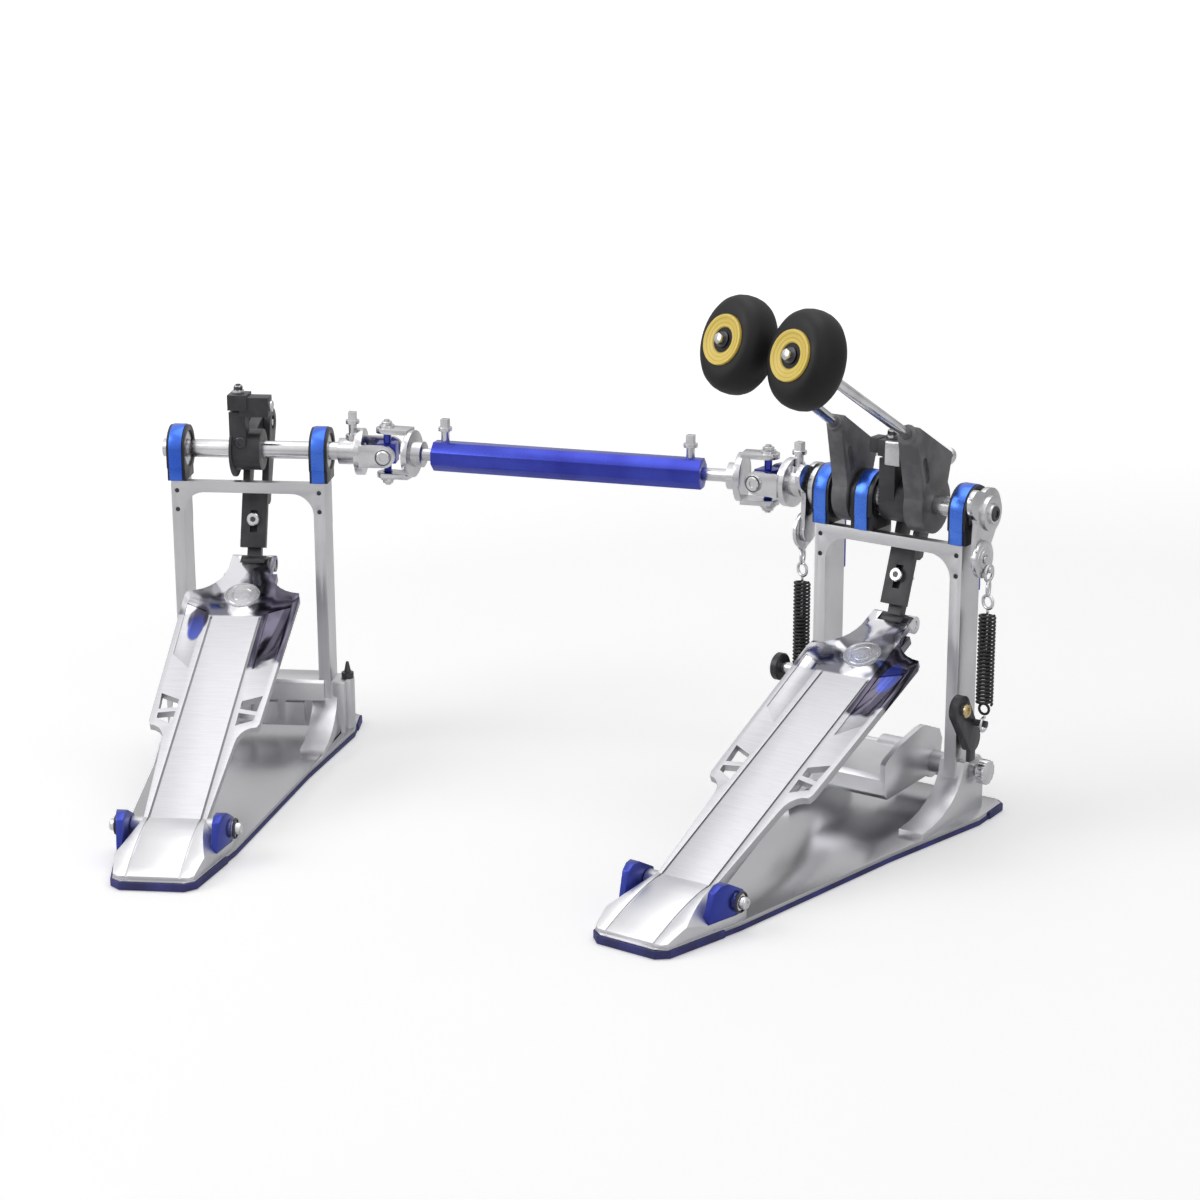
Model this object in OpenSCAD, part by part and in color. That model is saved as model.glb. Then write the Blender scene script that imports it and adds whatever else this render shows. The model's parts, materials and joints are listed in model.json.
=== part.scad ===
// Double bass drum pedal: a main pedal that carries both beaters, a slave pedal,
// and a telescopic drive shaft with two universal joints between them.
// Origin on the floor under the main axle, +Y towards the drum, +X to the player's right.

/* [Stance] */
// Height of both axles above the floor
axle_h = 215; // [208:1:222]
// Heel hinge pin behind the axle
hinge_back = 253; // [248:1:262]
// Height of the heel hinge pin above the floor
hinge_h = 19; // [18:0.5:21]
// Pitch of the footboards at rest
pitch = 23.9; // [22.5:0.1:25]
// Slave axle centre, to the left of the main axle centre
slave_left = 459.6; // [445:1:480]
// Slave axle centre, behind the main axle centre
slave_back = 135.9; // [125:1:145]
// Turn of the slave pedal about the vertical
slave_yaw = 29.7; // [25:0.1:33]

/* [Base] */
// Thickness of the rubber sole
sole_t = 3; // [2:0.5:4]
// Thickness of the floor plate
plate_t = 3; // [2:0.5:4]
// Length of the heel rest in front of the hinge
heel_len = 62; // [55:1:68]
// Half width of the floor plate at the heel end
heel_half = 28; // [26:1:30]
// Half width of the floor plate at the hinge
hinge_half = 39; // [38.5:0.5:42]
// Half width of the floor plate where it starts to widen for the posts
waist_half = 56; // [50:1:60]
// Half width of the floor plate under the posts
toe_half = 71; // [69:1:76]
// Floor plate in front of the axle
toe_len = 33; // [30:1:38]
// Height of the deck of the heel rest
deck_h = 25.5; // [24.5:0.5:27]

/* [Footboard] */
// Distance from the hinge pin to the link pin along the board
tip_pin_s = 274; // [270:1:278]
// Thickness of the board
board_t = 5; // [4:0.5:6]
// Half width of the board at the hinge
board_half_heel = 21; // [20:0.5:23]
// Half width of the board below the wings
board_half_neck = 25; // [24:0.5:27]
// Half width at the lower corner of the wings
wing_half_low = 37; // [35:0.5:40]
// Half width at the upper corner of the wings
wing_half_top = 42.3; // [40:0.1:44]
// Where the wings start, along the board
wing_s_low = 91; // [86:1:96]
// Where the wings end, along the board
wing_s_top = 234; // [228:1:238]
// Half width over the two ears at the tip
ear_half = 16; // [15:0.5:17]
// Half width of the slot between the ears
ear_slot_half = 9; // [8.7:0.1:10]
// Distance of the two long grooves from the centre line
groove_x = 17.5; // [16:0.5:19]
// Diameter of the link pin and of the hinge pin
pin_d = 6; // [5:0.5:6.5]

/* [Frame] */
// Distance from the centre line to the middle of each post
post_x = 52; // [50:1:54]
// Width of a post
post_w = 8.6; // [8:0.2:12]
// Depth of a post
post_d = 25; // [20:1:27]
// Distance of a post's front face ahead of the axle line
post_front = 15.5; // [12:0.5:16]
// Height of the crossbar
bar_h = 8; // [6:0.5:10]
// Depth of the crossbar
bar_d = 7; // [6:0.5:8]
// Diameter of the tie bar between the feet
tie_d = 15; // [13:0.5:17]
// Radius of the bearing housings
housing_r = 17.2; // [16.5:0.1:19]
// Width of the bearing housings
housing_w = 13; // [12:0.5:20]
// Width of the blue caps
cap_w = 9.4; // [9:0.2:12]
// Thickness of the blue caps
cap_t = 1.8; // [1.5:0.1:2]
// Height of the housings from their seat to the axle
seat_drop = 21; // [20:0.5:24]

/* [Axles and cams] */
// Diameter of the axles
axle_d = 13; // [11:0.5:14]
// Outer diameter of the ball races
race_d = 26; // [24:0.5:28]
// Crank radius from the axle to the link's upper pin
crank_r = 35.5; // [34:0.5:37]
// Angle of the crank above the horizontal at rest
crank_angle = 21.5; // [19:0.5:24]
// Diameter of the crank pin
crank_pin_d = 5; // [4.5:0.5:6]
// Play between the crank pin and the eye of the link
crank_play = 2.7; // [2.5:0.1:3]
// Width of the crank arm
arm_w = 8; // [7:0.5:8.4]
// Width of the links
link_w = 18.8; // [18:0.2:20]

/* [Beaters] */
// Diameter of the beater rods
rod_d = 7; // [6.5:0.5:9]
// Distance from the axle to the line of the rods
rod_off = 31.6; // [31:0.1:34]
// Radius of the rod sockets
socket_r = 7.6; // [7.4:0.1:8]
// Lean of the right rod from the vertical at rest
right_lean = 61.4; // [58:0.1:64]
// Lean of the left rod from the vertical at rest
left_lean = 59.3; // [57:0.1:63]
// Head centre along the right rod
right_reach = 196; // [185:1:205]
// Head centre along the left rod
left_reach = 188; // [180:1:200]
// Diameter of the heads
head_d = 55; // [52:0.5:55.5]
// Diameter of the flat faces of the heads
head_face_d = 44; // [42:0.5:50]
// Thickness of the heads
head_t = 27; // [24:0.5:30]
// Diameter of the yellow discs
disc_d = 32; // [28:0.5:36]

/* [Springs] */
// Distance of the springs from the centre line
spring_x = 71.5; // [71:0.5:73]
// Wire of the springs
wire_d = 1.8; // [1.6:0.1:2]
// Outer diameter of the coils
coil_d = 12; // [11:0.5:13]
// Number of curls in each spring
curls = 24; // [20:1:25]
// Height of the lower end of the coils
coil_low = 86; // [84:1:90]
// Height of the upper end of the coils
coil_top = 148; // [146:1:152]

/* [Drive shaft] */
// Universal joint centre beyond the slave axle centre
joint_a_x = 100; // [98:1:104]
// Universal joint centre beyond the main axle centre
joint_b_x = 104; // [103:1:108]
// Half width over the joint forks
fork_half = 18; // [17.6:0.2:20]
// Diameter of the shaft rods
shaft_d = 9; // [8:0.5:10]
// Width across the flats of the drive tube
tube_af = 21; // [19:0.5:23]
// Gap from the slave side joint to the tube
tube_gap_a = 36.7; // [34:0.5:40]
// Gap from the main side joint to the tube
tube_gap_b = 46.7; // [44:0.5:50]

/* [Clearances] */
// Play of a running fit, on the radius
run_fit = 0.05; // [0.02:0.01:0.1]
// Gap beside a moving piece
side_gap = 0.4; // [0.3:0.1:0.6]
// Play of the loose pins in the joint forks, on the radius
fork_play = 0.8; // [0.7:0.1:1]

/* [Hidden] */
$fn = 48;

base_top = sole_t + plate_t;
front_y = -hinge_back - heel_len;
barrel_r = 6.3;
seat_z = axle_h - seat_drop;
// link pin T at rest, in the side plane of a pedal: [y, z]
tip_pin_n = 0.3;
tip = [-hinge_back + tip_pin_s * cos(pitch) - tip_pin_n * sin(pitch),
       hinge_h + tip_pin_s * sin(pitch) + tip_pin_n * cos(pitch)];
// crank pin K at rest
crank = [crank_r * cos(crank_angle), crank_r * sin(crank_angle)];
link_dy = crank[0] - tip[0];
link_dz = axle_h + crank[1] - tip[1];
link_len = sqrt(link_dy * link_dy + link_dz * link_dz);
link_lean = atan2(link_dy, link_dz);
// plate of the upper link lies in front of the lower link
link_front = -8.3;
link_face = -3.8;
link_web = link_len - 58;
link_plate_top = link_web + 8;
link_bolt_u = 31;
eye_r = 10.5;
// x ranges on the main axle: housings, holders, rockers
centre_x = -20;
centre_w = 17;
right_x = [13.5, 27.5];
left_x = [-41.7, -30.3];
rocker_x = 63.5;
rocker_t = 3.5;
hanger_t = 2.5;
hanger_r = 12.5;
// rocker pin and spring anchors, in the side plane, from the axle centre
rocker_pin = [-10, -29];
hook_top = [-6, -36.5];
hook_low_z = 72;
hook_pin_r = 2.3;
// Ledge of the heel plate that carries the hinge blocks
ledge_top = base_top + 5;
// Half width of the heel plate's bevels at the floor plate
heel_flare = 36;
foot_w = 18;
foot_back = 66;
foot_h = 38;
beam_top = base_top + foot_h + 3;
tie = [6, 34];
spur_x = 66;
// drive shaft between the joint centres
a_x = -slave_left + joint_a_x * cos(slave_yaw);
a_y = -slave_back + joint_a_x * sin(slave_yaw);
shaft_len = sqrt((joint_b_x + a_x) * (joint_b_x + a_x) + a_y * a_y);
shaft_yaw = atan2(-a_y, -joint_b_x - a_x);
tube_len = shaft_len - tube_gap_a - tube_gap_b;
fork_in = 14.5;
fork_w = 16;
cross_pin_d = 5.4;
hub_len_a = 35;
hub_len_b = 30;
hub_r = 9.5;
hub_bolt = 25;

aluminium = [0.80, 0.81, 0.83];
blue = [0.18, 0.35, 0.85];
black = [0.10, 0.10, 0.11];
steel = [0.70, 0.71, 0.72];

module at_slave() translate([-slave_left, -slave_back, 0]) rotate([0, 0, slave_yaw]) children();
module at_axle() translate([0, 0, axle_h]) children();
module at_board() translate([0, -hinge_back, hinge_h]) rotate([pitch, 0, 0]) children();
module at_link() translate([0, tip[0], tip[1]]) rotate([-link_lean, 0, 0]) children();
module at_rod(lean, x) translate([x, 0, axle_h]) rotate([lean, 0, 0]) children();
module at_joint_a() at_slave() translate([joint_a_x, 0, axle_h]) children();
module at_joint_b() translate([-joint_b_x, 0, axle_h]) children();
module at_shaft_a() translate([a_x, a_y, axle_h]) rotate([0, 0, shaft_yaw]) children();
module at_shaft_b() translate([-joint_b_x, 0, axle_h]) rotate([0, 0, shaft_yaw + 180]) children();

// Solid between x0 and x1 whose section is drawn in the side plane as [y, z]
module side_plate(x0, x1) translate([x0, 0, 0]) rotate([90, 0, 90]) linear_extrude(x1 - x0) children();
module rod_x(d, x0, x1) translate([x0, 0, 0]) rotate([0, 90, 0]) cylinder(d = d, h = x1 - x0);
module both_sides() {
    children();
    mirror([1, 0, 0]) children();
}
// Two round ends joined by their flanks, in the plane of the sketch
module strap(p, rp, q, rq) {
    l = norm(q - p);
    n = [-(q[1] - p[1]) / l, (q[0] - p[0]) / l];
    translate(p) circle(rp);
    translate(q) circle(rq);
    polygon([p + n * rp * 0.98, p - n * rp * 0.98, q - n * rq * 0.98, q + n * rq * 0.98]);
}
// Drum-key bolt: thread, round flange and square head
module key_bolt() {
    cylinder(d = 6, h = 8);
    translate([0, 0, 8]) cylinder(d = 10, h = 2.5);
    translate([-2.75, -2.75, 10.5]) cube([5.5, 5.5, 6]);
}

// Half outline of the floor plate from the heel end to the toe: [half width, y]
function plate_half() = [[heel_half - 8, front_y - 3], [heel_half - 1, front_y + 2],
    [hinge_half, -hinge_back], [waist_half, -100], [toe_half, -6],
    [toe_half - 2, toe_len - 5], [toe_half - 8, toe_len]];
function mirrored(h) = [for (i = [len(h) - 1:-1:0]) [-h[i][0], h[i][1]]];
module plate_outline(grow = 0) {
    h = [for (p = plate_half()) [p[0] + grow, p[1] + (p[1] > 0 ? grow : 0) - (p[1] < front_y + 1 ? grow : 0)]];
    polygon(concat(h, mirrored(h)));
}
module spur_holes() both_sides() translate([spur_x, 0, -1]) cylinder(d = 6.4, h = base_top + 2);

module sole_pad(spurs = false) color([0.16, 0.14, 0.36]) difference() {
    union() {
        linear_extrude(sole_t) plate_outline(0.4);
        linear_extrude(sole_t + 2) intersection() {
            difference() {
                plate_outline(1.3);
                plate_outline(0.1);
            }
            union() {
                translate([-100, front_y - 10]) square([200, heel_len - 4]);
                translate([-100, 8]) square([200, 40]);
            }
        }
    }
    if (spurs) spur_holes();
}

module base_plate(spurs = false) color([0.62, 0.63, 0.65]) translate([0, 0, sole_t]) difference() {
    linear_extrude(plate_t) plate_outline();
    if (spurs) translate([0, 0, -sole_t]) spur_holes();
}

module heel_plate() color(aluminium) {
    translate([0, 0, base_top]) linear_extrude(ledge_top - base_top) intersection() {
        plate_outline(-0.6);
        both_sides() translate([28, -hinge_back - 27]) square([9.8, 36]);
    }
    heel_top = [for (t = [0:0.125:1]) [front_y + t * (heel_len - 2),
        base_top + 2 + (deck_h - base_top - 2) * (1 - pow(1 - t, 1.5))]];
    slope = atan2(deck_h - base_top - 2, heel_len - 2);
    difference() {
        intersection() {
            side_plate(-40, 40) polygon(concat([[front_y, base_top]], heel_top,
                [[-hinge_back - 2, base_top]]));
            translate([0, 0, base_top]) linear_extrude(30) difference() {
                plate_outline(-0.6);
                both_sides() translate([29, -hinge_back - 26.3]) square([20, 60]);
            }
            rotate([90, 0, 0]) translate([0, 0, hinge_back]) linear_extrude(heel_len + 1)
                polygon([[-heel_flare, base_top], [heel_flare, base_top], [heel_flare, base_top + 1.5],
                    [20.5, deck_h + 0.1], [-20.5, deck_h + 0.1], [-heel_flare, base_top + 1.5]]);
        }
        translate([0, -hinge_back, hinge_h]) rod_x(2 * barrel_r + 2 * side_gap, -40, 40);
        both_sides() for (i = [0:len(heel_top) - 2]) groove_piece(heel_top[i], heel_top[i + 1]);
    }
}
module groove_piece(p, q) {
    l = norm(q - p);
    translate([groove_x, p[0], p[1]]) rotate([atan2(q[1] - p[1], q[0] - p[0]), 0, 0])
        translate([-0.7, -0.3, -1]) cube([1.4, l + 0.6, 2]);
}

module hinge_blocks() color(blue) difference() {
    intersection() {
        translate([0, -hinge_back, 0]) both_sides() side_plate(29.3, 37.3)
            polygon([[-26, ledge_top], [-26, ledge_top + 4], [-21, hinge_h + 11], [-16, hinge_h + 14],
                [-9, hinge_h + 14], [6, hinge_h + 6], [8, hinge_h + 1], [8, ledge_top]]);
        linear_extrude(hinge_h + 20) plate_outline(-0.6);
    }
    translate([0, -hinge_back, hinge_h]) rod_x(pin_d + 2 * run_fit, -50, 50);
}
module hinge_pin() color(steel) translate([0, -hinge_back, hinge_h]) {
    rod_x(pin_d, -40, 40);
    both_sides() rod_x(11, 37.4, 40);
    both_sides() rod_x(8, 40, 43);
}

// Half outline of the footboard from the hinge to the ears: [half width, s]
function board_edge() = concat(
    [[board_half_heel, 0], [board_half_neck, wing_s_low - 16]],
    [for (a = [18:18:90]) [board_half_neck + (wing_half_low - board_half_neck) * (1 - cos(a)),
        wing_s_low - 16 + 16 * sin(a)]],
    [[wing_half_low + 1.4, wing_s_low + 4], [wing_half_top - 0.3, wing_s_top - 5], [wing_half_top - 1.6, wing_s_top]],
    [for (a = [12:12:90]) [ear_half + (wing_half_top - 1.6 - ear_half) * (1 - sin(a)),
        wing_s_top + (tip_pin_s - 12 - wing_s_top) * (1 - cos(a))]],
    [[ear_half, tip_pin_s]]);
module wing_window() difference() {
    polygon([[groove_x + 4.5, wing_s_low + 1], [wing_half_low - 3.5, wing_s_low + 7],
        [wing_half_low - 1.5, wing_s_low + 32], [groove_x + 4.5, wing_s_low + 26]]);
    polygon([[groove_x, wing_s_low + 19], [groove_x, wing_s_low + 15], [wing_half_low + 2, wing_s_low + 11],
        [wing_half_low + 2, wing_s_low + 15]]);
}
module wing_pocket() polygon([[groove_x + 5, wing_s_top - 84], [wing_half_top - 6, wing_s_top - 70],
    [wing_half_top - 4.5, wing_s_top - 14], [groove_x + 5, wing_s_top - 22]]);
module footboard() color(aluminium) at_board() {
    e = board_edge();
    difference() {
        union() {
            translate([0, 0, barrel_r - board_t]) linear_extrude(board_t) difference() {
                polygon(concat(e, mirrored(e)));
                translate([-ear_slot_half, tip_pin_s - 7]) square([2 * ear_slot_half, 20]);
                both_sides() wing_window();
            }
            rod_x(2 * barrel_r, -29.3 + side_gap, 29.3 - side_gap);
            both_sides() translate([ear_slot_half, tip_pin_s, tip_pin_n])
                rod_x(2 * (barrel_r - tip_pin_n), 0, ear_half - ear_slot_half);
            both_sides() translate([groove_x - 2, 0, -4]) cube([4, tip_pin_s - 14, 6]);
        }
        rod_x(pin_d + 2 * run_fit, -40, 40);
        translate([0, tip_pin_s, tip_pin_n]) rod_x(pin_d + 2 * run_fit, -40, 40);
        both_sides() translate([groove_x - 0.7, -1, barrel_r - 0.9]) cube([1.4, wing_s_top - 28, 2]);
        both_sides() translate([0, 0, barrel_r - 1]) linear_extrude(3) wing_pocket();
    }
}

module link_lower() color(black) at_link() difference() {
    union() {
        rod_x(11.6, -ear_slot_half + side_gap, ear_slot_half - side_gap);
        translate([-5, link_face + side_gap / 2, 0]) cube([10, 7, link_web - 3.5]);
    }
    rod_x(pin_d + 2 * run_fit, -20, 20);
    translate([0, 0, link_bolt_u]) rotate([90, 0, 0]) cylinder(d = 5.1, h = 40, center = true);
}
module link_upper() color(black) at_link() difference() {
    union() {
        translate([-link_w / 2, link_front, 11]) cube([link_w, link_face - link_front, link_plate_top - 11]);
        translate([-link_w / 2, link_front, link_web]) cube([link_w, 4 - link_front, link_plate_top - link_web]);
        both_sides() side_plate(arm_w / 2 + 0.6, link_w / 2)
            strap([-1.5, link_plate_top - 5], 5.5, [0, link_len], eye_r);
    }
    translate([0, 0, link_len]) rod_x(crank_pin_d + 2 * crank_play, -20, 20);
    translate([-2.7, -20, link_bolt_u - 9]) cube([5.4, 20, 16]);
}
module link_bolts() color(steel) at_link() {
    rod_x(pin_d, -ear_half + 0.5, ear_half - 0.5);
    translate([0, 0, link_bolt_u]) rotate([90, 0, 0]) {
        translate([0, 0, -7]) cylinder(d = 5, h = 7 - link_front);
        translate([0, 0, -link_front]) cylinder(d = 9, h = 2.6);
        translate([0, 0, -7]) cylinder(d = 9, h = 3.6, $fn = 6);
    }
}

module frame_sides(platform) {
    both_sides() translate([post_x - post_w / 2, -post_front, base_top + 20])
        cube([post_w, post_d, seat_z - base_top - 20]);
    translate([-post_x, -post_front, seat_z - bar_h]) cube([2 * post_x, bar_d, bar_h]);
    both_sides() translate([post_x - post_w / 2, -post_front + bar_d, seat_z - bar_h]) rotate([90, 0, 0])
        linear_extrude(bar_d) difference() {
            translate([-16, -16]) square([17, 17]);
            translate([-16, -16]) circle(16);
        }
    if (platform) translate([centre_x - centre_w / 2, -post_front, seat_z - 5])
        cube([centre_w, post_d, 5]);
}
module foot() {
    curve = [for (a = [0:15:90]) [-foot_back + (foot_back - 12) * cos(a),
        base_top + foot_h - (foot_h - 4) * sin(a)]];
    side_plate(post_x - foot_w / 2, post_x + foot_w / 2)
        polygon(concat([[16, base_top], [16, base_top + foot_h - 6], [10, base_top + foot_h]], curve,
            [[-foot_back, base_top]]));
}
module pedal_frame(main) color(aluminium) difference() {
    union() {
        frame_sides(main);
        both_sides() foot();
        translate([0, tie[0], tie[1]]) rod_x(tie_d, -post_x, post_x);
        if (!main) both_sides() {
            translate([spur_x, 0, base_top]) cylinder(r = 5, h = foot_h);
            translate([post_x + foot_w / 2 - 2, -15, base_top])
                cube([spur_x - post_x - foot_w / 2 + 2, 20, foot_h]);
        }
        if (!main) {
            side_plate(-post_x, post_x) polygon([[-20, beam_top - 15], [-20, beam_top - 2],
                [-18, beam_top], [6, beam_top], [8, beam_top - 2], [8, beam_top - 6], [-12, beam_top - 15]]);
            side_plate(-post_x, post_x) polygon([[-16, base_top + 5], [-16, beam_top - 10],
                [-6, beam_top - 10], [-6, base_top + 5]]);
            for (x = [-30:20:30]) translate([x - 7, -20, base_top + 8]) cube([14, 8, 16]);
        }
    }
    both_sides() for (z = [seat_z - 7, seat_z - 21]) translate([post_x, -post_front + 4, z])
        rotate([90, 0, 0]) cylinder(d = 3.4, h = 10);
    if (main) translate([0, tie[0], tie[1]]) rod_x(8 + 2 * run_fit, 30, 90);
    else both_sides() translate([spur_x, 0, 0]) cylinder(d = 5 + 2 * run_fit, h = 60);
}

// Side view of a housing around the axle, with its sloping chin
module housing_shape(r) {
    circle(r);
    polygon([[-r, 0], [-r, -11], [-post_front, -11 - (r - post_front) * 1.05], [-post_front, -seat_drop],
        [post_d - post_front, -seat_drop], [post_d - post_front, 0]]);
}
module cap_zone() polygon([[-30, -seat_drop], [-post_front - 0.1, -seat_drop], [-post_front - 0.1, 0], [9, 15],
    [9, 30], [-30, 30]]);
module housing(x, w) color(black) at_axle() difference() {
    side_plate(x - w / 2, x + w / 2) housing_shape(housing_r);
    rod_x(race_d + 2 * run_fit, x - w, x + w);
    side_plate(x - cap_w / 2 - 0.1, x + cap_w / 2 + 0.1) difference() {
        cap_zone();
        housing_shape(housing_r - cap_t + 0.5);
    }
}
module cap(x) color(blue) at_axle() side_plate(x - cap_w / 2, x + cap_w / 2) intersection() {
    cap_zone();
    difference() {
        housing_shape(housing_r + 0.5);
        housing_shape(housing_r - cap_t + 0.55);
    }
}
module race(x, w) color(steel) at_axle() difference() {
    rod_x(race_d, x - w / 2, x + w / 2);
    rod_x(axle_d + 2 * run_fit, x - w, x + w);
}

module cam(x0, x1, ear_x1) color(black) at_axle() difference() {
    union() {
        rod_x(30, x0, x1);
        if (x0 < -link_w / 2 - 2) rod_x(40, x0, -link_w / 2 - 0.8);
        side_plate(-arm_w / 2, arm_w / 2) strap([0, 0], 14.2, crank, 8.5);
        translate([x0, -15, 0]) cube([12, 12, 30]);
        translate([x0 - (x0 < -link_w / 2 - 2 ? 0 : -0.5), -18, 32]) cube([14, 17, 11]);
        translate([x0 + 2, -13, 28]) cube([8, 8, 8]);
        translate([x0 + 8, -16, 27]) cube([ear_x1 - x0 - 8, 14, 14]);
    }
    rod_x(axle_d + 2 * run_fit, x0 - 10, x1 + 10);
    translate([0, crank[0], crank[1]]) rod_x(crank_pin_d + 2 * run_fit, -20, 20);
    translate([x0 + 6.5, -9.5, 27]) cylinder(d = 6.1, h = 30);
}
module cam_bolts(x0, ear_x1) at_axle() {
    translate([0, crank[0], crank[1]]) rod_x(crank_pin_d, -link_w / 2 + 0.2, link_w / 2 - 0.2);
    translate([x0 + 6.5, -9.5, 29]) cylinder(d = 6, h = 20);
    translate([x0 + 6.5, -9.5, 43.2]) cylinder(d = 8.4, h = 2.4);
    translate([0, -9, 34]) rod_x(8, ear_x1 + 0.05, ear_x1 + 2);
}

module beater_holder(x) color(black) difference() {
    union() {
        side_plate(x[0], x[1]) {
            circle(19.5);
            polygon([[-15, 8], [10, 31], [rod_off - 2, 49.5], [rod_off + socket_r - 1.6, 49.5],
                [rod_off + socket_r - 1.6, -3], [16, -8]]);
        }
        translate([(x[0] + x[1]) / 2, rod_off, -5]) cylinder(r = min(socket_r, (x[1] - x[0]) / 2 - 0.2), h = 56);
    }
    rod_x(axle_d + 2 * run_fit, -60, 60);
    translate([(x[0] + x[1]) / 2, rod_off, -10]) cylinder(d = rod_d + 2 * run_fit, h = 70);
    side_plate(x[1] - 1.5, x[1] + 1) strap([11, 20], 3, [20, 30], 3);
}
module holder_bolt(x) translate([(x[0] + x[1]) / 2, rod_off + 4.5, -10.7])
    cylinder(d = 13, h = 5.4);
module beater_rod(reach, x) color(steel) translate([(x[0] + x[1]) / 2, rod_off, 14])
    cylinder(d = rod_d, h = reach - 14);
module at_head(reach, x) translate([(x[0] + x[1]) / 2, rod_off, reach]) children();
function head_profile() = concat([[0, -head_t / 2]], [for (t = [-1:0.2:1])
    [head_d / 2 - (head_d - head_face_d) / 2 * pow(abs(t), 2.2), t * head_t / 2]], [[0, head_t / 2]]);
module beater_head(reach, x) color(black) difference() {
    at_head(reach, x) rotate_extrude($fn = 64) polygon(head_profile());
    translate([(x[0] + x[1]) / 2, rod_off, 0]) cylinder(d = rod_d + 2 * run_fit, h = reach + 0.5);
}
module beater_disc(reach, x) at_head(reach, x) {
    color([0.88, 0.72, 0.22]) translate([0, 0, head_t / 2]) difference() {
        cylinder(d = disc_d, h = 1.8);
        translate([0, 0, -1]) cylinder(d = 6.2, h = 4);
    }
    color(steel) translate([0, 0, head_t / 2]) {
        cylinder(d = 6, h = 3);
        translate([0, 0, 1.9]) cylinder(d = 10, h = 1.3);
        translate([0, 0, 3.2]) cylinder(d = 8.4, h = 3.6, $fn = 6);
    }
}

module rocker() color(steel) at_axle() difference() {
    union() {
        side_plate(rocker_x, rocker_x + rocker_t) {
            strap([0, 0], 16.8, rocker_pin, 8);
            strap([-2, 1], 12, [-16, 9], 9);
        }
        rod_x(24, rocker_x + 1, rocker_x + 6.5);
        rod_x(29, rocker_x - 3.9, rocker_x + 1);
        translate([0, rocker_pin[0], rocker_pin[1]]) rod_x(5, rocker_x, rocker_x + rocker_t + hanger_t + 2);
    }
    rod_x(axle_d + 2 * run_fit, 50, 90);
}
hanger_x = rocker_x + rocker_t + 0.3;
module spring_hanger() color(steel) at_axle() {
    difference() {
        union() {
            side_plate(hanger_x, hanger_x + hanger_t) translate(rocker_pin) circle(hanger_r);
            translate([0, hook_top[0], hook_top[1]]) rod_x(2 * hook_pin_r, hanger_x, spring_x + 2.2);
        }
        translate([0, rocker_pin[0], rocker_pin[1]]) rod_x(5 + 2 * run_fit, 50, 90);
    }
}

// Centre line of a spring: lower hook, curls and upper hook, in the side plane and around its axis
coil_r = (coil_d - wire_d) / 2;
spring_pitch = (coil_top - coil_low) / curls;
hook_r = hook_pin_r + wire_d / 2 + 0.7;
hook_sag = 0.4;
top_pin_z = axle_h + hook_top[1] - hook_sag;
function hook_low() = [for (a = [200:-35:-10]) [0, hook_r * cos(a), hook_low_z + hook_sag + hook_r * sin(a)]];
function lead_in() = [[0, hook_r * 0.75, coil_low - 8], [0, 1.4, coil_low - 5]];
function curl_ring() = [for (k = [0:8 * curls]) let (a = 45 * k)
    [coil_r * sin(a), coil_r * cos(a), coil_low + spring_pitch * k / 8]];
function lead_out() = [[0, 1.4, coil_top + 5], [0, 0, coil_top + 9], [0, 0, top_pin_z - 12],
    [0, hook_r * 0.8, top_pin_z - 6.5]];
function hook_high() = [for (a = [-10:35:200]) [0, hook_r * cos(a), top_pin_z + hook_r * sin(a)]];
spring_line = concat(hook_low(), lead_in(), curl_ring(), lead_out(), hook_high());
wire_sides = 6;
function unit(v) = v / norm(v);
function sweep_frame(t) = let (s = unit(cross(t, [0.15, 0.1, 0.98]))) [s, cross(s, t)];
function ring_at(i) = let (l = spring_line, n = len(l),
    t = unit(l[min(i + 1, n - 1)] - l[max(i - 1, 0)]), f = ring_axes(i, t))
    [for (k = [0:wire_sides - 1]) l[i] + wire_d / 2 * (cos(360 * k / wire_sides) * f[0]
        + sin(360 * k / wire_sides) * f[1])];
// Across the hooks the rings keep the x axis; along the curls they keep the radial direction
function ring_axes(i, t) = let (c = len(hook_low()) + len(lead_in()), e = c + 8 * curls,
    r = (i >= c && i <= e) ? unit([spring_line[i][0], spring_line[i][1], 0]) : [1, 0, 0],
    s = unit(r - t * (r * t))) [s, cross(t, s)];
module spring_wire() {
    n = len(spring_line);
    m = wire_sides;
    pts = [for (i = [0:n - 1]) each ring_at(i)];
    walls = [for (i = [0:n - 2], k = [0:m - 1], h = [0, 1]) let (a = i * m + k, b = i * m + (k + 1) % m)
        h == 0 ? [a, a + m, b] : [b, a + m, b + m]];
    ends = [for (k = [1:m - 2], h = [0, 1]) h == 0 ? [0, k, k + 1]
        : [(n - 1) * m, (n - 1) * m + k + 1, (n - 1) * m + k]];
    polyhedron(points = pts, faces = concat(walls, ends));
}
module main_spring() color(black) translate([spring_x, hook_top[0], 0]) spring_wire();
echo(least_gap_between_curls = min([for (k = [0:7]) norm(curl_ring()[k + 8] - curl_ring()[k]) - wire_d]));

module spring_adjuster() color(black) union() {
    side_plate(post_x + post_w / 2 + 3, spring_x - coil_d / 2 - 0.5) strap([-23, 85], 9.5, [-6, 60], 8.5);
    translate([0, -3, 62]) rod_x(9, post_x + post_w / 2, post_x + post_w / 2 + 4);
    translate([0, hook_top[0], hook_low_z]) rod_x(2 * hook_pin_r, post_x + post_w / 2 + 4, spring_x + 2.4);
    translate([0, -23, 85]) rod_x(8.5, post_x + post_w / 2 + 4, spring_x - coil_d / 2 + 2);
}

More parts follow.
